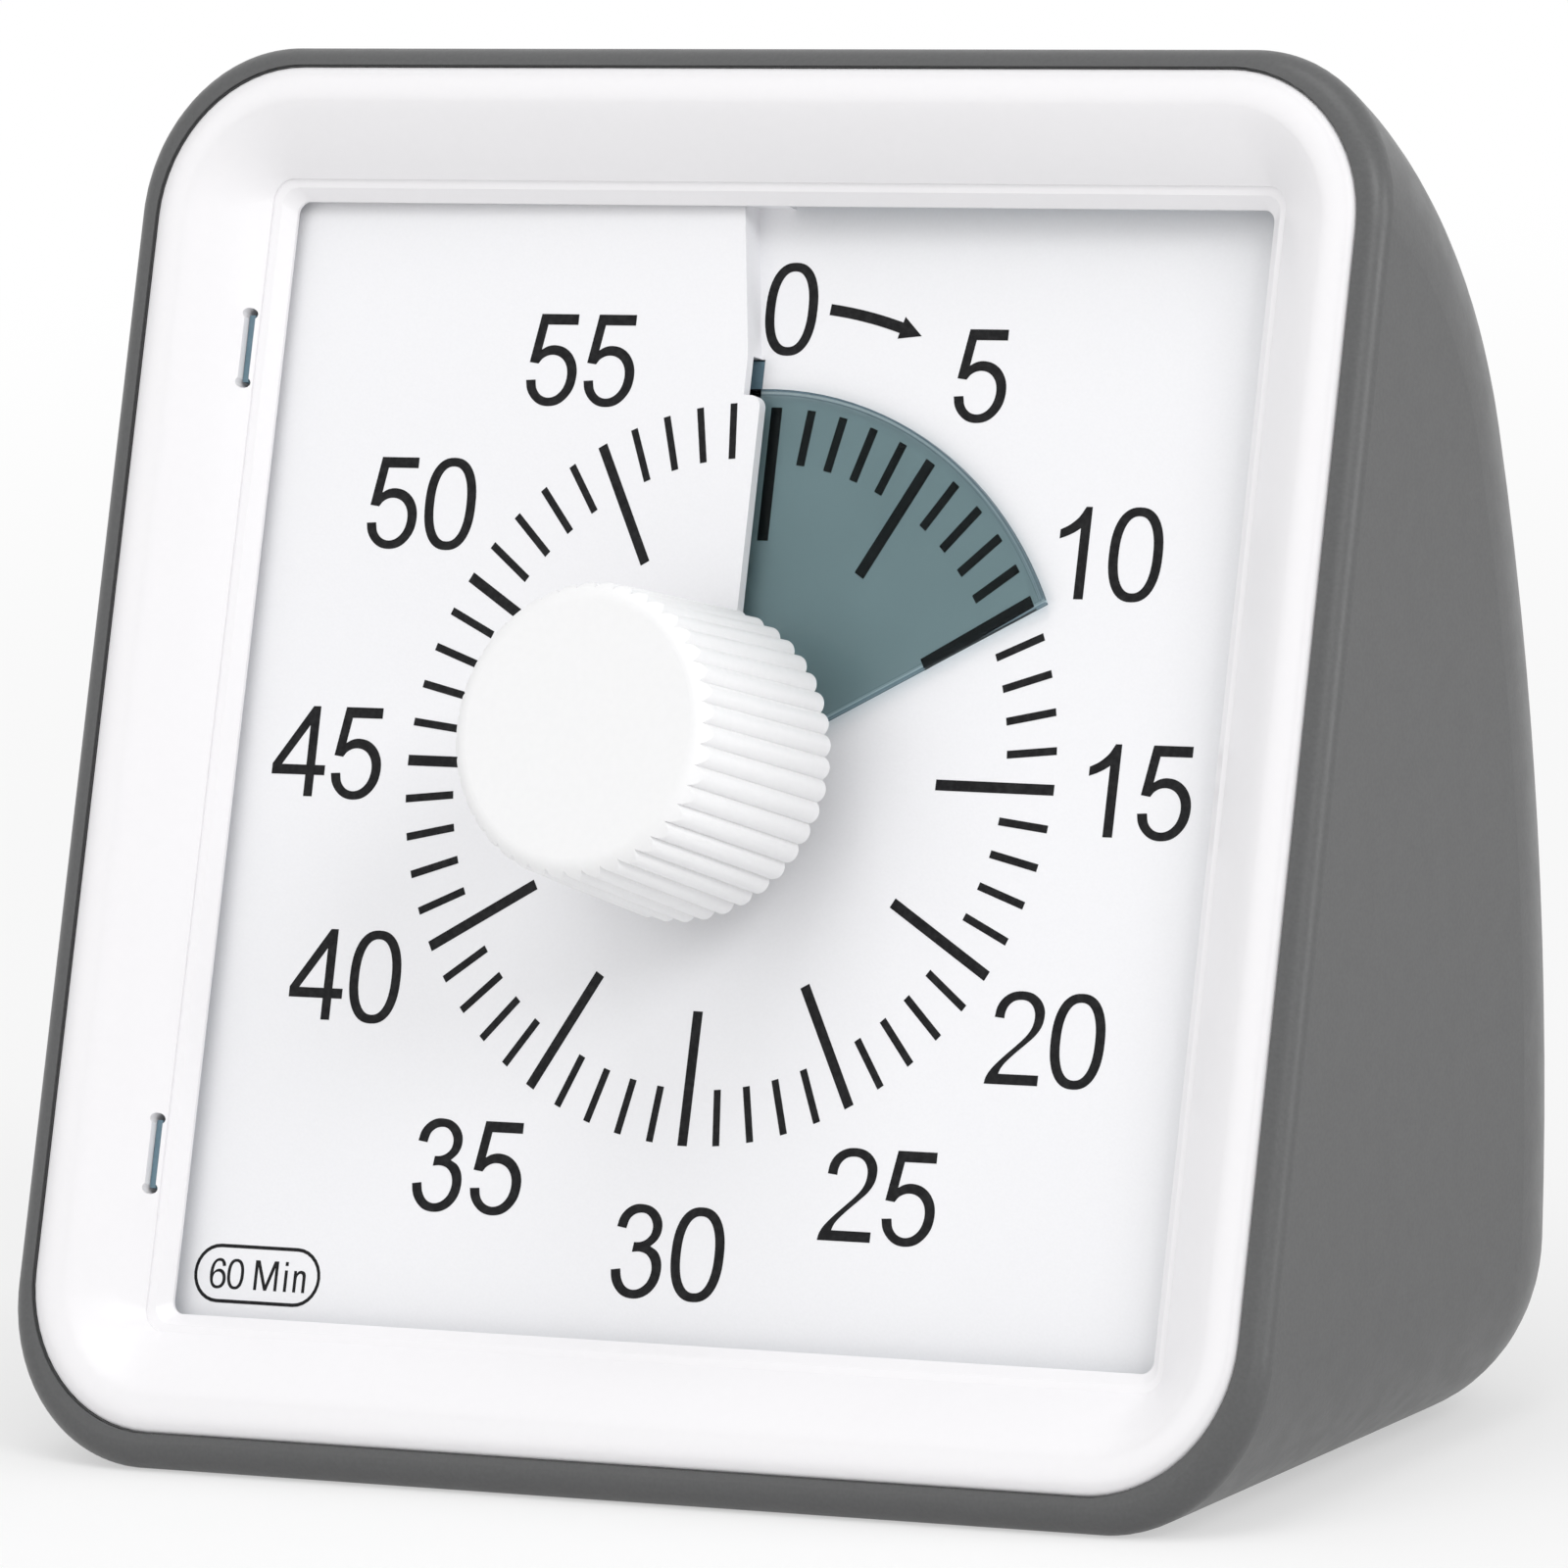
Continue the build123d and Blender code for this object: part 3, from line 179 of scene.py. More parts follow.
def camera_axes():
    """Right, up and back of the camera, from its azimuth, elevation and roll."""
    azimuth = math.radians(CAMERA_AZIMUTH)
    elevation = math.radians(CAMERA_ELEVATION)
    roll = math.radians(CAMERA_ROLL)
    back = Vector((
        math.sin(azimuth) * math.cos(elevation),
        -math.cos(azimuth) * math.cos(elevation),
        math.sin(elevation),
    ))
    level = Vector((math.cos(azimuth), math.sin(azimuth), 0.0))
    right = level * math.cos(roll) + back.cross(level) * math.sin(roll)
    return right, back.cross(right), back


def add_camera():
    """The photograph's view: its direction, lens and framing."""
    right, up, back = camera_axes()
    focal = CAMERA_LENS / SENSOR * IMAGE_SIZE
    shift_right = (DIAL_PIXEL[0] - IMAGE_SIZE / 2) / focal * CAMERA_DISTANCE
    shift_up = (IMAGE_SIZE / 2 - DIAL_PIXEL[1]) / focal * CAMERA_DISTANCE
    data = bpy.data.cameras.new("camera")
    data.lens = CAMERA_LENS
    data.sensor_width = SENSOR
    data.clip_start = CLIP_START
    data.clip_end = CLIP_END
    camera = bpy.data.objects.new("camera", data)
    place = DIAL - right * shift_right - up * shift_up + back * CAMERA_DISTANCE
    camera.matrix_world = Matrix((
        (right.x, up.x, back.x, place.x),
        (right.y, up.y, back.y, place.y),
        (right.z, up.z, back.z, place.z),
        (0.0, 0.0, 0.0, 1.0),
    ))
    bpy.context.scene.collection.objects.link(camera)
    bpy.context.scene.camera = camera


# ---- materials ----------------------------------------------------------------------

# The Mix node has sockets for every type of data, and their names repeat.
MIX_VECTORS = (4, 5)
MIX_VECTOR_RESULT = 1
MIX_COLOURS = (6, 7)
MIX_COLOUR_RESULT = 2

# Most of a noise lies between these values.
NOISE_LOW = 0.35
NOISE_HIGH = 0.65

CREST_SAMPLES = 6
CREST_SOFTENING = (0.0016, 0.0031, 0.0037)  # radius, and the heights where it sets in

PLASTICS = {
    # colour, roughness, size and depth of the grain in metres; then, where they aren't the
    # usual ones, the colour's spread, the gloss and the softening of the edges
    "shell_grey": ((0.088, 0.089, 0.09), 0.38, 0.00022, 0.000008, 0.05, 0.42),
    "bezel_white": (
        (0.865, 0.855, 0.87), 0.3, 0.0005, 0.000001, 0.003, 0.5, CREST_SOFTENING
    ),
    "dial_white": ((0.86, 0.86, 0.88), 0.42, 0.00016, 0.000005, 0.008),
    "knob_white": ((0.855, 0.855, 0.86), 0.34, 0.0004, 0.000002, 0.006),
    "disc_hub_plastic": ((0.1, 0.15, 0.16), 0.4, 0.0003, 0.000006),
    "chassis_blue_grey": ((0.12, 0.2, 0.25), 0.5, 0.0002, 0.00001),
    "movement_plastic": ((0.02, 0.02, 0.022), 0.5, 0.0002, 0.00001),
    "gear_plastic": ((0.74, 0.72, 0.64), 0.38, 0.0003, 0.000004),
    "switch_black": ((0.012, 0.012, 0.013), 0.45, 0.00025, 0.00001),
    "chip_black": ((0.015, 0.015, 0.016), 0.6, 0.00012, 0.00001),
    "buzzer_black": ((0.014, 0.014, 0.015), 0.5, 0.0003, 0.00001),
}
GLOSS_PATCH = 0.0015
GLOSSIER = 0.02
DULLER = 0.03

METALS = {
    # colour, roughness, scale of the streaks along X, Y and Z, their depth in metres
    "magnet": ((0.3, 0.3, 0.31), 0.5, (1.0, 1.0, 1.0), 0.000006),
    "soft_iron": ((0.5, 0.5, 0.5), 0.38, (0.1, 1.0, 1.0), 0.000004),
    "steel": ((0.62, 0.62, 0.63), 0.3, (0.12, 1.0, 1.0), 0.000003),
    "brass": ((0.72, 0.5, 0.2), 0.28, (1.0, 0.1, 1.0), 0.000003),
    "crystal_can": ((0.75, 0.75, 0.77), 0.25, (0.1, 1.0, 1.0), 0.000002),
}
STREAK_SIZE = 0.0004
STREAK_DARKNESS = 0.82
STREAK_LOW = 0.3
STREAK_HIGH = 0.7

# the film's tint; the painted shade along its rim and leading edge; the colour of the
# painted highlight inside that shade
FILM_TINT = (0.4, 0.485, 0.495)
FILM_EDGE_SHADE = (0.16, 0.23, 0.27)
FILM_PAINTED_GLINT = (0.75, 0.84, 0.86)
FILM_IOR = 1.15
FILM_ROUGHNESS = (0.0, 0.02)
FILM_CLOUDS = 0.009
FILM_CLOUD_SHADE = 0.95
FILM_GLOSS_PATCH = 0.004
RIM_GLINT = 0.25  # share of the glint's colour in the round rim's painted highlight line
LEAD_GLINT = 1.0  # and in the leading edge's painted highlight line
EDGE_ONSET = 0.05  # the painted shade and highlight lines across the rim, as shares of its width
DARK_FROM = 0.12
LIGHT_FROM = 0.3
LIGHT_TO = 0.55
DARK_TO = 0.75

INK = (0.008, 0.008, 0.009)
INK_ROUGHNESS = (0.38, 0.55)
INK_GLOSS = 0.12
INK_GLOSS_PATCH = 0.0005
INK_WORN = 0.012
INK_WEAR = 0.00035

# the battery's parts along its length, and their colours
SLEEVE_FROM = 0.02
BAND_FROM = 0.72
CAP_FROM = 0.965
FLAT_END = (0.55, 0.55, 0.54)
SLEEVE = (0.035, 0.09, 0.07)
BAND = (0.62, 0.33, 0.16)
CAP = (0.6, 0.6, 0.6)
SLEEVE_METALLIC = (0.25, 0.25, 0.25)


class Shader:
    """A Principled material whose inputs are fed from the object's own coordinates."""

    def __init__(self, name, roughness, metallic=0.0):
        """A plain material, to which the other methods add."""
        self.material = bpy.data.materials.new(name)
        self.material.use_nodes = True
        self.tree = self.material.node_tree
        self.principled = self.tree.nodes["Principled BSDF"]
        self.output = self.tree.nodes["Material Output"]
        self.principled.inputs["Roughness"].default_value = roughness
        self.principled.inputs["Metallic"].default_value = metallic
        self.place = self.new("ShaderNodeTexCoord").outputs["Object"]

    def new(self, kind, **settings):
        """A node with its settings."""
        node = self.tree.nodes.new(kind)
        for name, value in settings.items():
            setattr(node, name, value)
        return node

    def link(self, source, target):
        """A link from an output to an input."""
        self.tree.links.new(source, target)

    def stretched(self, scale, turn=(0.0, 0.0, 0.0)):
        """Coordinates scaled unevenly or turned, for streaks and rows."""
        mapping = self.new("ShaderNodeMapping")
        mapping.inputs["Scale"].default_value = scale
        mapping.inputs["Rotation"].default_value = turn
        self.link(self.place, mapping.inputs["Vector"])
        return mapping.outputs["Vector"]

    def noise(self, size, detail=3.0, where=None):
        """Noise whose features are about size metres across."""
        node = self.new("ShaderNodeTexNoise")
        node.inputs["Scale"].default_value = 1.0 / size
        node.inputs["Detail"].default_value = detail
        self.link(where or self.place, node.inputs["Vector"])
        return node.outputs["Fac"]

    def ramp(self, factor, stops, interpolation="LINEAR"):
        """Colours at positions along a factor."""
        node = self.new("ShaderNodeValToRGB")
        node.color_ramp.interpolation = interpolation
        elements = node.color_ramp.elements
        while len(elements) < len(stops):
            elements.new(0.5)
        for element, (position, colour) in zip(elements, stops):
            element.position = position
            element.color = (*colour, 1.0)
        self.link(factor, node.inputs["Fac"])
        return node.outputs["Color"]

    def span(self, value, low, high, to_low, to_high):
        """A value mapped from one range to another and held inside it."""
        node = self.new("ShaderNodeMapRange")
        self.link(value, node.inputs["Value"])
        for name, number in (
            ("From Min", low), ("From Max", high), ("To Min", to_low), ("To Max", to_high)
        ):
            node.inputs[name].default_value = number
        return node.outputs["Result"]

    def mottle(self, colour, size, spread):
        """The colour, a little lighter and darker in soft patches."""
        darker = [channel * (1 - spread) for channel in colour]
        lighter = [min(1.0, channel * (1 + spread)) for channel in colour]
        stops = [(NOISE_LOW, darker), (NOISE_HIGH, lighter)]
        return self.ramp(self.noise(size), stops)

    def rough(self, size, low, high):
        """Roughness that wanders between two values."""
        self.link(
            self.span(self.noise(size, detail=2.0), NOISE_LOW, NOISE_HIGH, low, high),
            self.principled.inputs["Roughness"],
        )

    def bump(self, height, depth, over=None):
        """A relief of the given depth in metres, over the surface or over other normals."""
        node = self.new("ShaderNodeBump")
        node.inputs["Distance"].default_value = depth
        node.inputs["Strength"].default_value = 1.0
        self.link(height, node.inputs["Height"])
        if over is not None:
            self.link(over, node.inputs["Normal"])
        self.link(node.outputs["Normal"], self.principled.inputs["Normal"])

    def softened(self, radius, low, high):
        """Normals that round the edges above a height over the dial."""
        bevel = self.new("ShaderNodeBevel", samples=CREST_SAMPLES)
        bevel.inputs["Radius"].default_value = radius
        sharp = self.new("ShaderNodeNewGeometry")
        node = self.new("ShaderNodeMix", data_type="VECTOR")
        self.link(self.span(self.from_dial(OUT), low, high, 0.0, 1.0), node.inputs["Factor"])
        for source, socket in zip((sharp, bevel), MIX_VECTORS):
            self.link(source.outputs["Normal"], node.inputs[socket])
        return node.outputs[MIX_VECTOR_RESULT]

    def math(self, operation, first, second):
        """One operation on two values or numbers."""
        node = self.new("ShaderNodeMath", operation=operation)
        for socket, value in zip(node.inputs, (first, second)):
            if isinstance(value, (int, float)):
                socket.default_value = value
            else:
                self.link(value, socket)
        return node.outputs["Value"]

    def hypotenuse(self, first, second):
        """The root of the sum of two squares."""
        squares = [self.math("MULTIPLY", side, side) for side in (first, second)]
        return self.math("SQRT", self.math("ADD", *squares), 0.0)

    def from_dial(self, direction):
        """Metres from the dial's centre along a direction."""
        offset = self.new("ShaderNodeVectorMath", operation="SUBTRACT")
        offset.inputs[1].default_value = DIAL
        self.link(self.place, offset.inputs[0])
        along = self.new("ShaderNodeVectorMath", operation="DOT_PRODUCT")
        along.inputs[1].default_value = direction
        self.link(offset.outputs["Vector"], along.inputs[0])
        return along.outputs["Value"]

    def on_dial(self):
        """Metres across and up the dial, from its centre."""
        return self.from_dial(ACROSS), self.from_dial(UP_DIAL)

    def blend(self, factor, first, second):
        """One colour going over into another."""
        node = self.new("ShaderNodeMix", data_type="RGBA")
        self.link(factor, node.inputs["Factor"])
        for source, socket in zip((first, second), MIX_COLOURS):
            self.link(source, node.inputs[socket])
        return node.outputs[MIX_COLOUR_RESULT]

    def colour(self, source):
        """The base colour, from an output."""
        self.link(source, self.principled.inputs["Base Color"])


def moulded(
    name, colour, roughness, grain, depth, spread=0.03, gloss=0.5, softening=None
):
    """Injection-moulded plastic: soft mottling, uneven gloss and a spark-eroded grain."""
    shader = Shader(name, roughness)
    shader.colour(shader.mottle(colour, grain, spread))
    shader.rough(GLOSS_PATCH, roughness - GLOSSIER, roughness + DULLER)
    over = shader.softened(*softening) if softening else None
    shader.bump(shader.noise(grain, detail=4.0), depth, over=over)
    shader.principled.inputs["Specular IOR Level"].default_value = gloss
    return shader.material


def metal(name, colour, roughness, streaks, depth):
    """Drawn, turned or stamped metal: streaks along one direction."""
    shader = Shader(name, roughness, metallic=1.0)
    streaked = shader.noise(STREAK_SIZE, where=shader.stretched(streaks))
    darker = [channel * STREAK_DARKNESS for channel in colour]
    shader.colour(shader.ramp(streaked, [(STREAK_LOW, darker), (STREAK_HIGH, colour)]))
    smoothest = roughness - 0.06
    dullest = roughness + 0.08
    shader.link(
        shader.span(streaked, STREAK_LOW, STREAK_HIGH, smoothest, dullest),
        shader.principled.inputs["Roughness"],
    )
    shader.bump(streaked, depth)
    return shader.material


def tinted_film(name, tint, rim, painted_glint):
    """Clear coloured film: the dial shows through it, and lamps light what is behind it.

    Painted shade, a dark line with a painted highlight as a light line inside it, follows
    the film's rim and leading edge.
    """
    shader = Shader(name, 0.04)
    across, along = shader.on_dial()
    radius = shader.hypotenuse(across, along)
    turn = math.radians(DISC_EDGE_ANGLE)
    ahead = shader.math(
        "SUBTRACT",
        shader.math("MULTIPLY", across, math.cos(turn)),
        shader.math("MULTIPLY", along, math.sin(turn)),
    )
    outward = shader.math(
        "ADD",
        shader.math("MULTIPLY", across, math.sin(turn)),
        shader.math("MULTIPLY", along, math.cos(turn)),
    )
    slack = FILM_EDGE_SLACK * MM
    width = FILM_RIM * MM
    reach = DISC_RADIUS * MM
    lead_only = shader.math(
        "MULTIPLY",
        shader.span(ahead, slack, 2 * slack, 1.0, 0.0),
        shader.span(outward, 0.0, width, 0.0, 1.0),
    )
    deeper = [channel * FILM_CLOUD_SHADE for channel in tint]
    clouds = shader.noise(FILM_CLOUDS, detail=2.0)
    film_colour = shader.ramp(clouds, [(0.3, deeper), (0.7, tint)])
    rim_depth = shader.span(radius, reach - width, reach, 0.0, 1.0)
    lead_depth = shader.span(ahead, -width, 0.0, 0.0, 1.0)
    lead_depth = shader.math("MULTIPLY", lead_depth, lead_only)
    # painted shade and a painted highlight, mixed into the film's colour along the round rim
    # and the leading edge
    for depth, share in ((rim_depth, RIM_GLINT), (lead_depth, LEAD_GLINT)):
        light = [low + (high - low) * share for low, high in zip(tint, painted_glint)]
        edge = shader.ramp(depth, [
            (0.0, tint),
            (DARK_FROM, rim),
            (LIGHT_FROM, light),
            (LIGHT_TO, light),
            (DARK_TO, rim),
            (1.0, rim),
        ])
        near = shader.span(depth, 0.0, EDGE_ONSET, 0.0, 1.0)
        film_colour = shader.blend(near, film_colour, edge)
    shader.colour(film_colour)
    shader.rough(FILM_GLOSS_PATCH, *FILM_ROUGHNESS)
    shader.bump(shader.noise(size=0.005, detail=1.0), depth=0.00001)
    shader.principled.inputs["Transmission Weight"].default_value = 1.0
    shader.principled.inputs["IOR"].default_value = FILM_IOR
    path = shader.new("ShaderNodeLightPath")
    clear = shader.new("ShaderNodeBsdfTransparent")
    mix = shader.new("ShaderNodeMixShader")
    shader.link(film_colour, clear.inputs["Color"])
    shader.link(path.outputs["Is Shadow Ray"], mix.inputs["Fac"])
    shader.link(shader.principled.outputs["BSDF"], mix.inputs[1])
    shader.link(clear.outputs["BSDF"], mix.inputs[2])
    shader.link(mix.outputs["Shader"], shader.output.inputs["Surface"])
    return shader.material


def ink(name, colour):
    """Pad-printed ink: nearly black, with pinholes and a faintly uneven film."""
    shader = Shader(name, 0.45)
    shader.principled.inputs["Specular IOR Level"].default_value = INK_GLOSS
    worn = [channel + INK_WORN for channel in colour]
    wear = shader.noise(INK_WEAR, detail=4.0)
    shader.colour(shader.ramp(wear, [(0.4, colour), (0.75, worn)]))
    shader.rough(INK_GLOSS_PATCH, *INK_ROUGHNESS)
    shader.bump(shader.noise(size=0.00012, detail=2.0), depth=0.000002)
    return shader.material


def sleeved_cell(name):
    """Battery: a dark sleeve with a copper-coloured band towards its positive end."""
    shader = Shader(name, 0.32)
    axis = shader.new("ShaderNodeSeparateXYZ")
    shader.link(shader.place, axis.inputs["Vector"])
    low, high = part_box("battery")
    along = shader.span(axis.outputs["X"], low.x, high.x, 0.0, 1.0)
    colours = [(0.0, FLAT_END), (SLEEVE_FROM, SLEEVE), (BAND_FROM, BAND), (CAP_FROM, CAP)]
    shader.colour(shader.ramp(along, colours, "CONSTANT"))
    bare = [(0.0, WHITE), (SLEEVE_FROM, SLEEVE_METALLIC), (CAP_FROM, WHITE)]
    shader.link(
        shader.ramp(along, bare, "CONSTANT"), shader.principled.inputs["Metallic"]
    )
    shader.rough(size=0.003, low=0.26, high=0.4)
    shader.bump(shader.noise(size=0.002, detail=2.0), depth=0.000004)
    return shader.material


def wound_wire(name):
    """Coil: turns of enamelled wire side by side, with painted shade in the grooves between
    them.
    """
    shader = Shader(name, 0.3, metallic=0.8)
    wave = shader.new("ShaderNodeTexWave", wave_type="BANDS", bands_direction="X")
    wave.inputs["Scale"].default_value = 1700.0
    wave.inputs["Distortion"].default_value = 0.6
    shader.link(shader.place, wave.inputs["Vector"])
    # painted shade: the grooves between the turns are coloured darker than the copper
    between = (0.16, 0.04, 0.015)
    copper = (0.72, 0.3, 0.12)
    shader.colour(shader.ramp(wave.outputs["Fac"], [(0.1, between), (0.8, copper)]))
    shader.bump(wave.outputs["Fac"], depth=0.00004)
    return shader.material


def solder_mask(name):
    """Circuit board: green mask over slightly raised tracks and pads."""
    shader = Shader(name, 0.35)
    tracks = shader.new("ShaderNodeTexBrick")
    tracks.inputs["Scale"].default_value = 260.0
    tracks.inputs["Mortar Size"].default_value = 0.09
    tracks.inputs["Mortar Smooth"].default_value = 0.3
    tracks.offset = 0.37
    upright = shader.stretched((1.0, 1.0, 1.0), (math.radians(90), 0.0, 0.0))
    shader.link(upright, tracks.inputs["Vector"])
    bare = (0.015, 0.11, 0.045)
    raised = (0.04, 0.22, 0.09)
    shader.colour(shader.ramp(tracks.outputs["Fac"], [(0.2, bare), (0.8, raised)]))
    shader.bump(tracks.outputs["Fac"], depth=0.00004)
    return shader.material


def finishes():
    """Every CAD node's material, by the record's slot."""
    made = {name: moulded(name, *values) for name, values in PLASTICS.items()}
    made |= {name: metal(name, *values) for name, values in METALS.items()}
    made["disc_blue_grey"] = tinted_film(
        "disc_blue_grey", FILM_TINT, FILM_EDGE_SHADE, FILM_PAINTED_GLINT
    )
    made["copper_winding"] = wound_wire("copper_winding")
    made["battery_sleeve"] = sleeved_cell("battery_sleeve")
    made["board_green"] = solder_mask("board_green")
    for part in frame["record"]["subparts"]:
        for slot in nodes[part["node"]].material_slots:
            slot.material = made[part["material_slot"]]
    return made


# ---- print on the dial --------------------------------------------------------------


def as_object(name, mesh, material):
    """A mesh as an object in the scene, with its faces turned outwards."""
    bmesh.ops.recalc_face_normals(mesh, faces=mesh.faces)
    data = bpy.data.meshes.new(name)
    mesh.to_mesh(data)
    mesh.free()
    data.materials.append(material)
    made_object = bpy.data.objects.new(name, data)
    bpy.context.scene.collection.objects.link(made_object)
    return made_object


def printed(name, outlines, level, body, material):
    """Ink as thin closed solids. Each outline is a list of loops, its holes after it."""
    mesh = bmesh.new()
    for loops in outlines:
        flat = [[Vector((u, v, 0.0)) for u, v in loop] for loop in loops]
        points = [(u, v, level(u, v)) for loop in flat for u, v, _ in loop]
        top = [mesh.verts.new(on_face(u, v, h + INK_ABOVE)) for u, v, h in points]
        low = [mesh.verts.new(on_face(u, v, h - INK_BELOW)) for u, v, h in points]
        for corners in tessellate_polygon(flat):
            mesh.faces.new([top[i] for i in corners])
            mesh.faces.new([low[i] for i in reversed(corners)])
        start = 0
        for loop in flat:
            count = len(loop)
            for i in range(count):
                a = start + i
                b = start + (i + 1) % count
                mesh.faces.new([top[a], low[a], low[b], top[b]])
            start += count
    piece = as_object(name, mesh, material)
    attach(piece, body)


def polar(radius, angle):
    """A point at an angle clockwise from twelve o'clock, in degrees."""
    turn = math.radians(angle)
    return (radius * math.sin(turn), radius * math.cos(turn))


def radial_bar(angle, inner, outer, width):
    """A straight mark that points at the dial's centre."""
    turn = math.radians(angle)
    along = (math.sin(turn), math.cos(turn))
    aside = (along[1] * width / 2, -along[0] * width / 2)
    return [
        (radius * along[0] + side * aside[0], radius * along[1] + side * aside[1])
        for radius, side in ((inner, -1), (outer, -1), (outer, 1), (inner, 1))
    ]


def smooth(points, steps=5):
    """A Catmull-Rom curve through the points."""
    first = (2 * points[0][0] - points[1][0], 2 * points[0][1] - points[1][1])
    last = (2 * points[-1][0] - points[-2][0], 2 * points[-1][1] - points[-2][1])
    chain = [first, *points, last]
    curve = []
    for a, b, c, d in zip(chain, chain[1:], chain[2:], chain[3:]):
        for k in range(steps):
            t = k / steps
            curve.append(tuple(
                0.5 * (
                    2 * b[i]
                    + (c[i] - a[i]) * t
                    + (2 * a[i] - 5 * b[i] + 4 * c[i] - d[i]) * t**2
                    + (3 * b[i] - a[i] - 3 * c[i] + d[i]) * t**3
                )
                for i in range(2)
            ))
    return [*curve, points[-1]]


def rounded_loop(centre, reach, power, count=56):
    """A superellipse, for the counters and outsides of round figures."""
    loop = []
    for k in range(count):
        angle = 2 * math.pi * k / count
        loop.append(tuple(
            centre[i] + reach[i] * math.copysign(abs(part) ** (2 / power), part)
            for i, part in enumerate((math.cos(angle), math.sin(angle)))
        ))
    return loop


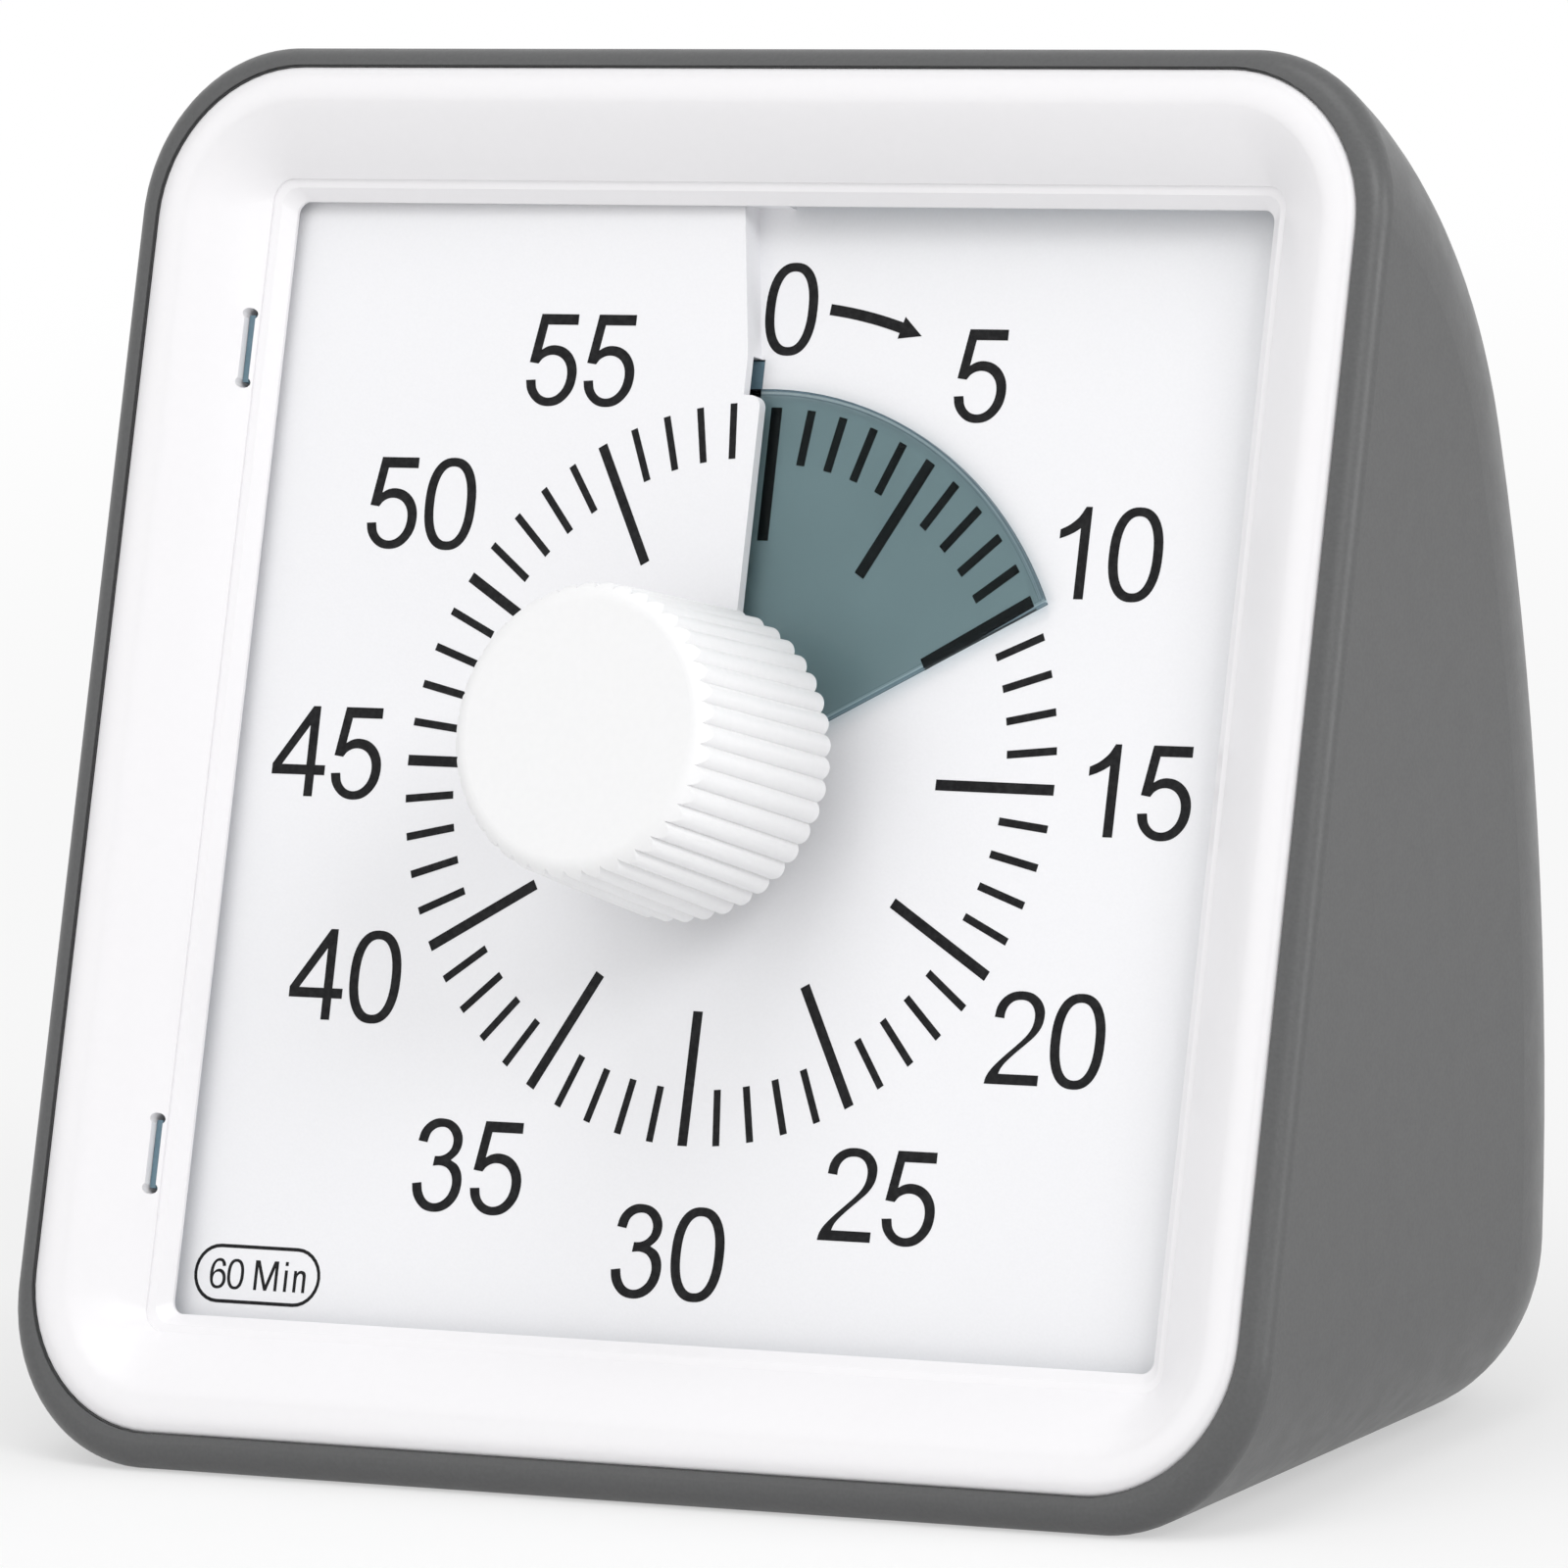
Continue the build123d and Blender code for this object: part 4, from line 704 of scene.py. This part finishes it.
# Figures in units of their height. A figure is a list of loops, and each loop is a list
# of runs: a run of two points or fewer is straight, and a longer one is a smooth curve.
FIGURES = {
    "0": [
        rounded_loop((0.381, 0.494), (0.328, 0.512), 2.35),
        rounded_loop((0.381, 0.494), (0.212, 0.416), 2.3),
    ],
    "1": [[
        [(0.535, 1.0), (0.535, 0.0)],
        [(0.418, 0.0), (0.418, 0.768)],
        [(0.418, 0.768), (0.35, 0.725), (0.26, 0.683), (0.17, 0.652)],
        [(0.17, 0.75)],
        [(0.17, 0.75), (0.28, 0.803), (0.385, 0.888), (0.46, 1.0)],
    ]],
    "2": [[
        [
            (0.086, 0.718), (0.106, 0.83), (0.17, 0.925), (0.27, 0.985), (0.39, 1.004),
            (0.52, 0.985), (0.622, 0.92), (0.682, 0.825), (0.69, 0.725), (0.667, 0.63),
            (0.603, 0.535), (0.5, 0.44), (0.375, 0.333), (0.275, 0.237), (0.225, 0.17),
            (0.202, 0.112),
        ],
        [(0.692, 0.112), (0.692, 0.0)],
        [
            (0.04, 0.0), (0.056, 0.072), (0.1, 0.148), (0.17, 0.226), (0.27, 0.32),
            (0.39, 0.425), (0.49, 0.522), (0.55, 0.61), (0.574, 0.7), (0.568, 0.785),
            (0.53, 0.856), (0.466, 0.9), (0.384, 0.912), (0.3, 0.893), (0.238, 0.84),
            (0.208, 0.77), (0.203, 0.706),
        ],
    ]],
    "3": [[
        [
            (0.084, 0.752), (0.115, 0.86), (0.185, 0.945), (0.28, 0.995), (0.38, 1.004),
            (0.49, 0.983), (0.585, 0.918), (0.64, 0.825), (0.645, 0.72), (0.605, 0.63),
            (0.525, 0.555),
        ],
        [
            (0.525, 0.555), (0.615, 0.505), (0.672, 0.42), (0.69, 0.31), (0.665, 0.175),
            (0.588, 0.066), (0.48, 0.0), (0.355, -0.018), (0.235, 0.008), (0.142, 0.08),
            (0.084, 0.175), (0.062, 0.282),
        ],
        [
            (0.178, 0.298), (0.202, 0.195), (0.262, 0.11), (0.355, 0.076), (0.455, 0.1),
            (0.535, 0.175), (0.571, 0.285), (0.553, 0.39), (0.488, 0.465), (0.395, 0.492),
            (0.303, 0.484),
        ],
        [
            (0.316, 0.59), (0.395, 0.596), (0.467, 0.628), (0.52, 0.69), (0.532, 0.775),
            (0.5, 0.85), (0.44, 0.9), (0.372, 0.912), (0.295, 0.893), (0.23, 0.835),
            (0.2, 0.735),
        ],
    ]],
    "4": [
        [
            [(0.587, 1.0), (0.587, 0.348)], [(0.72, 0.348), (0.72, 0.238)],
            [(0.587, 0.238), (0.587, 0.0)], [(0.474, 0.0), (0.474, 0.238)],
            [(0.03, 0.238), (0.03, 0.352)], [(0.494, 1.0)],
        ],
        [[(0.474, 0.348), (0.474, 0.79)], [(0.152, 0.348)]],
    ],
    "5": [[
        [(0.66, 1.0), (0.66, 0.883)],
        [(0.272, 0.883), (0.222, 0.603)],
        [
            (0.222, 0.603), (0.3, 0.642), (0.395, 0.655), (0.51, 0.632), (0.612, 0.565),
            (0.682, 0.46), (0.706, 0.335), (0.682, 0.19), (0.605, 0.074), (0.5, 0.002),
            (0.37, -0.02), (0.25, 0.003), (0.152, 0.07), (0.087, 0.162), (0.062, 0.265),
        ],
        [
            (0.182, 0.272), (0.206, 0.172), (0.272, 0.1), (0.368, 0.073), (0.468, 0.1),
            (0.548, 0.18), (0.584, 0.295), (0.572, 0.41), (0.515, 0.496), (0.428, 0.542),
            (0.33, 0.545), (0.248, 0.508), (0.198, 0.45),
        ],
        [(0.084, 0.465), (0.18, 1.0)],
    ]],
    "6": [
        [
            [
                (0.665, 0.755), (0.63, 0.87), (0.55, 0.965), (0.42, 1.004), (0.275, 0.965),
                (0.15, 0.84), (0.078, 0.65), (0.062, 0.46), (0.085, 0.25), (0.145, 0.1),
                (0.25, 0.005), (0.39, -0.02), (0.53, 0.01), (0.635, 0.095), (0.692, 0.21),
                (0.7, 0.33), (0.672, 0.47), (0.595, 0.58), (0.48, 0.64), (0.37, 0.635),
                (0.27, 0.59), (0.188, 0.51),
            ],
            [
                (0.188, 0.51), (0.192, 0.64), (0.235, 0.79), (0.31, 0.885), (0.41, 0.905),
                (0.495, 0.875), (0.545, 0.735),
            ],
        ],
        rounded_loop((0.385, 0.31), (0.197, 0.232), 2.2),
    ],
    "M": [[
        [(0.0, 0.0), (0.0, 1.0)], [(0.17, 1.0), (0.46, 0.19)],
        [(0.75, 1.0), (0.92, 1.0)], [(0.92, 0.0), (0.805, 0.0)],
        [(0.805, 0.8), (0.515, 0.0)], [(0.405, 0.0), (0.115, 0.8)],
        [(0.115, 0.0)],
    ]],
    "i": [
        [[(0.0, 0.0), (0.0, 0.72)], [(0.115, 0.72), (0.115, 0.0)]],
    ],
    "i_dot": [
        [[(0.0, 0.87), (0.0, 1.0)], [(0.115, 1.0), (0.115, 0.87)]],
    ],
    "n": [[
        [(0.0, 0.0), (0.0, 0.72)],
        [(0.105, 0.72), (0.108, 0.63)],
        [
            (0.108, 0.63), (0.17, 0.705), (0.28, 0.738), (0.4, 0.705), (0.46, 0.62),
            (0.47, 0.5),
        ],
        [(0.47, 0.0), (0.355, 0.0)],
        [
            (0.355, 0.48), (0.335, 0.59), (0.26, 0.637), (0.175, 0.6), (0.125, 0.52),
            (0.115, 0.4),
        ],
        [(0.115, 0.0)],
    ]],
}


def figure(symbol, corner, height):
    """The loops of a figure, with its lower left corner and height in millimetres."""
    loops = []
    for shape in FIGURES[symbol]:
        if isinstance(shape[0], tuple):
            points = shape
        else:
            points = []
            for run in shape:
                points += smooth(run) if len(run) > 2 else run
        loop = []
        for x, y in points:
            place = (corner[0] + height * x, corner[1] + height * y)
            if not loop or math.dist(place, loop[-1]) > SAME_POINT:
                loop.append(place)
        if math.dist(loop[0], loop[-1]) < SAME_POINT:
            loop.pop()
        loops.append(loop)
    return loops


def line_of(text, centre, height, advance):
    """Figures side by side, with the middle of their ink at a point."""
    figures = [
        figure(symbol, (advance * height * k, -height / 2), height)
        for k, symbol in enumerate(text)
    ]
    reach = [u for loops in figures for loop in loops for u, v in loop]
    middle = (min(reach) + max(reach)) / 2
    return [
        [[(centre[0] + u - middle, centre[1] + v) for u, v in loop] for loop in loops]
        for loops in figures
    ]


def capsule(size, inset, count=14):
    """A rounded bar about the badge's centre, shrunk evenly."""
    radius = size[1] / 2 - inset
    reach = (size[0] - size[1]) / 2
    loop = []
    for side in (1, -1):
        for k in range(count + 1):
            angle = math.radians(-90 * side + 180 * k / count)
            loop.append((
                BADGE_CENTRE[0] + side * reach + radius * math.cos(angle),
                BADGE_CENTRE[1] + radius * math.sin(angle),
            ))
    return loop


def print_dial(ink_made):
    """The marks, numerals, arrow and badge, all on the surface of the ramp."""
    zero = [
        (u + ZERO_MARK_SHIFT, v)
        for u, v in radial_bar(0, MARK_LONG, MARK_OUTER, MARK_LONG_WIDTH + BOLDER)
    ]
    printed("zero_mark", [[zero]], low_level, "housing", ink_made)

    marks = []
    for minute in range(1, MINUTES):
        fifth, past = divmod(minute, LONG_EVERY)
        before, after = MARK_DRIFT[fifth:][:2]
        drift = before + (after - before) * (past / LONG_EVERY)
        marks.append([radial_bar(
            minute * 360 / MINUTES + math.degrees(drift / MARK_MIDDLE),
            MARK_SHORT if past else MARK_LONG,
            MARK_OUTER,
            (MARK_SHORT_WIDTH if past else MARK_LONG_WIDTH)
            + (BOLDER if minute <= BOLD_MARKS else 0.0),
        )])
    printed("dial_marks", marks, dial_level, "housing", ink_made)

    for minute, centre in NUMERAL_CENTRES.items():
        printed(
            f"numeral_{minute}",
            line_of(str(minute), centre, NUMERAL_HEIGHT, NUMERAL_ADVANCE),
            dial_level if minute else low_level,
            "housing",
            ink_made,
        )

    sweep = [
        ARROW_START + (ARROW_NECK - ARROW_START) * k / ARROW_STEPS
        for k in range(ARROW_STEPS + 1)
    ]
    arrow = [polar(ARROW_RADIUS + ARROW_WIDTH / 2, angle) for angle in sweep]
    arrow += [
        polar(ARROW_RADIUS + ARROW_BARB / 2, ARROW_NECK),
        polar(ARROW_RADIUS, ARROW_TIP),
        polar(ARROW_RADIUS - ARROW_BARB / 2, ARROW_NECK),
    ]
    arrow += [polar(ARROW_RADIUS - ARROW_WIDTH / 2, angle) for angle in reversed(sweep)]
    printed("direction_arrow", [[arrow]], dial_level, "housing", ink_made)

    badge = [[capsule(BADGE_SIZE, 0.0), capsule(BADGE_SIZE, BADGE_LINE)]]
    start = BADGE_CENTRE[0] - BADGE_TEXT_START
    base = BADGE_CENTRE[1] - BADGE_TEXT_HEIGHT / 2
    for symbol, shift in BADGE_TEXT:
        corner = (start + shift * BADGE_TEXT_HEIGHT, base)
        badge.append(figure(symbol, corner, BADGE_TEXT_HEIGHT))
    printed("range_badge", badge, dial_level, "housing", ink_made)


# ---- the bezel's joint and the slit's end -------------------------------------------


def rounded_frame(half, low, high, radius, count=10):
    """A rectangle of the dial's frame with rounded corners."""
    loop = []
    for side, v, start in (
        (1, high - radius, 0), (-1, high - radius, 90),
        (-1, low + radius, 180), (1, low + radius, 270),
    ):
        for k in range(count + 1):
            angle = math.radians(start + 90 * k / count)
            loop.append((
                side * (half - radius) + radius * math.cos(angle),
                v + radius * math.sin(angle),
            ))
    return loop


def add_seam(material):
    """A thin ring that closes the joint between the bezel and the shell to the eye."""
    bezel = nodes["front_bezel"]
    points = [(bezel.matrix_world @ vertex.co - DIAL) / MM for vertex in bezel.data.vertices]
    rim = [point for point in points if point.dot(OUT) > SEAM_LEVEL / 2]
    half = max(point.dot(ACROSS) for point in rim)
    low = min(point.dot(UP_DIAL) for point in rim)
    high = max(point.dot(UP_DIAL) for point in rim)
    loops = [
        rounded_frame(half + grow, low - grow, high + grow, BEZEL_CORNER + grow)
        for grow in (SEAM_WIDTH - SEAM_FREE, SEAM_FREE)
    ]
    printed("bezel_seam", [loops], lambda u, v: SEAM_LEVEL, "housing", material)


def add_liner(material):
    """Carrier plastic that shows in the slit's outer end, as a closed box."""
    corners = [on_face(u, v, h) for u in LINER[0] for v in LINER[1] for h in LINER[2]]
    mesh = bmesh.new()
    verts = [mesh.verts.new(corner) for corner in corners]
    for face in BOX_FACES:
        mesh.faces.new([verts[i] for i in face])
    piece = as_object("slit_liner", mesh, material)
    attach(piece, "housing")


# ---- floor, light and background ----------------------------------------------------

FLOOR_RADIUS = 3.0
FLOOR_SIDES = 96
FLOOR_COLOUR = (0.86, 0.86, 0.86)
FLOOR_ROUGHNESS = 0.9
FLOOR_GLOSS = 0.1
GLOW_NEAR = 0.5  # share of the glow in what is seen of the floor, beside the timer
GLOW_FAR = 1.0
GLOW_REACH = (0.05, 0.55)  # metres from the timer over which the glow grows
WORLD_LIGHT = 0.68

LAMPS = (
    # name, azimuth and elevation of the lamp seen from the timer, distance, size, power
    ("key", 62.0, 34.0, 0.9, 0.3, 1.9),
    ("side", 101.0, 12.0, 0.9, 0.26, 1.5),
    ("top", 10.0, 72.0, 1.0, 0.6, 2.2),
    ("front", -25.0, 35.0, 1.1, 0.8, 1.0),
)
LAMP_TARGET = Vector((0.0, 0.0, 0.037))


def glow_for_sight(tree, shader_socket, strength):
    """A white glow, seen directly, in gloss and through glass, that lights nothing.

    Its strength is a number or a socket.
    """
    path = tree.nodes.new("ShaderNodeLightPath")
    seen = path.outputs["Is Camera Ray"]
    for other in ("Is Glossy Ray", "Is Transmission Ray"):
        add = tree.nodes.new("ShaderNodeMath")
        add.operation = "MAXIMUM"
        tree.links.new(seen, add.inputs[0])
        tree.links.new(path.outputs[other], add.inputs[1])
        seen = add.outputs["Value"]
    scale = tree.nodes.new("ShaderNodeMath")
    scale.operation = "MULTIPLY"
    if isinstance(strength, float):
        scale.inputs[1].default_value = strength
    else:
        tree.links.new(strength, scale.inputs[1])
    tree.links.new(seen, scale.inputs[0])
    tree.links.new(scale.outputs["Value"], shader_socket)


def floor_material():
    """A pale floor that keeps the timer's shadow and is seen as white farther away."""
    material = bpy.data.materials.new("floor")
    material.use_nodes = True
    tree = material.node_tree
    principled = tree.nodes["Principled BSDF"]
    principled.inputs["Base Color"].default_value = (*FLOOR_COLOUR, 1.0)
    principled.inputs["Roughness"].default_value = FLOOR_ROUGHNESS
    principled.inputs["Specular IOR Level"].default_value = FLOOR_GLOSS
    glow = tree.nodes.new("ShaderNodeEmission")
    place = tree.nodes.new("ShaderNodeTexCoord")
    distance = tree.nodes.new("ShaderNodeVectorMath")
    distance.operation = "LENGTH"
    tree.links.new(place.outputs["Object"], distance.inputs[0])
    grow = tree.nodes.new("ShaderNodeMapRange")
    grow.interpolation_type = "SMOOTHSTEP"
    grow.inputs["From Min"].default_value = GLOW_REACH[0]
    grow.inputs["From Max"].default_value = GLOW_REACH[1]
    grow.inputs["To Min"].default_value = GLOW_NEAR
    grow.inputs["To Max"].default_value = GLOW_FAR
    tree.links.new(distance.outputs["Value"], grow.inputs["Value"])
    both = tree.nodes.new("ShaderNodeMixShader")
    glow_for_sight(tree, both.inputs["Fac"], grow.outputs["Result"])
    tree.links.new(principled.outputs["BSDF"], both.inputs[1])
    tree.links.new(glow.outputs["Emission"], both.inputs[2])
    tree.links.new(both.outputs["Shader"], tree.nodes["Material Output"].inputs["Surface"])
    return material


def add_floor():
    """A wide disc at the height of the timer's foot."""
    mesh = bmesh.new()
    bmesh.ops.create_circle(mesh, cap_ends=True, radius=FLOOR_RADIUS, segments=FLOOR_SIDES)
    data = bpy.data.meshes.new("floor")
    mesh.to_mesh(data)
    mesh.free()
    data.materials.append(floor_material())
    floor = bpy.data.objects.new("floor", data)
    floor.location.z = cad_box[0][2]
    bpy.context.scene.collection.objects.link(floor)


def add_world():
    """Even light from all round, and a white background where it is seen."""
    world = bpy.data.worlds.new("studio")
    bpy.context.scene.world = world
    world.use_nodes = True
    tree = world.node_tree
    light = tree.nodes["Background"]
    light.inputs["Color"].default_value = (*WHITE, 1.0)
    light.inputs["Strength"].default_value = WORLD_LIGHT
    sight = tree.nodes.new("ShaderNodeBackground")
    sight.inputs["Color"].default_value = (*WHITE, 1.0)
    sight.inputs["Strength"].default_value = 1.0
    mix = tree.nodes.new("ShaderNodeMixShader")
    glow_for_sight(tree, mix.inputs["Fac"], 1.0)
    tree.links.new(light.outputs["Background"], mix.inputs[1])
    tree.links.new(sight.outputs["Background"], mix.inputs[2])
    tree.links.new(mix.outputs["Shader"], tree.nodes["World Output"].inputs["Surface"])


def add_lamps():
    """Square lamps that face the timer."""
    for name, azimuth, elevation, distance, size, power in LAMPS:
        data = bpy.data.lights.new(name, "AREA")
        data.shape = "SQUARE"
        data.size = size
        data.energy = power
        lamp = bpy.data.objects.new(name, data)
        turn = math.radians(azimuth)
        lift = math.radians(elevation)
        direction = Vector((
            math.sin(turn) * math.cos(lift),
            -math.cos(turn) * math.cos(lift),
            math.sin(lift),
        ))
        lamp.location = LAMP_TARGET + direction * distance
        lamp.rotation_euler = direction.to_track_quat("Z", "Y").to_euler()
        bpy.context.scene.collection.objects.link(lamp)


# ---- the scene ----------------------------------------------------------------------

bpy.context.scene.view_settings.view_transform = "Standard"
add_camera()
made = finishes()
print_dial(ink("dial_ink", INK))
add_liner(made["chassis_blue_grey"])
add_seam(made["shell_grey"])
add_floor()
add_world()
add_lamps()
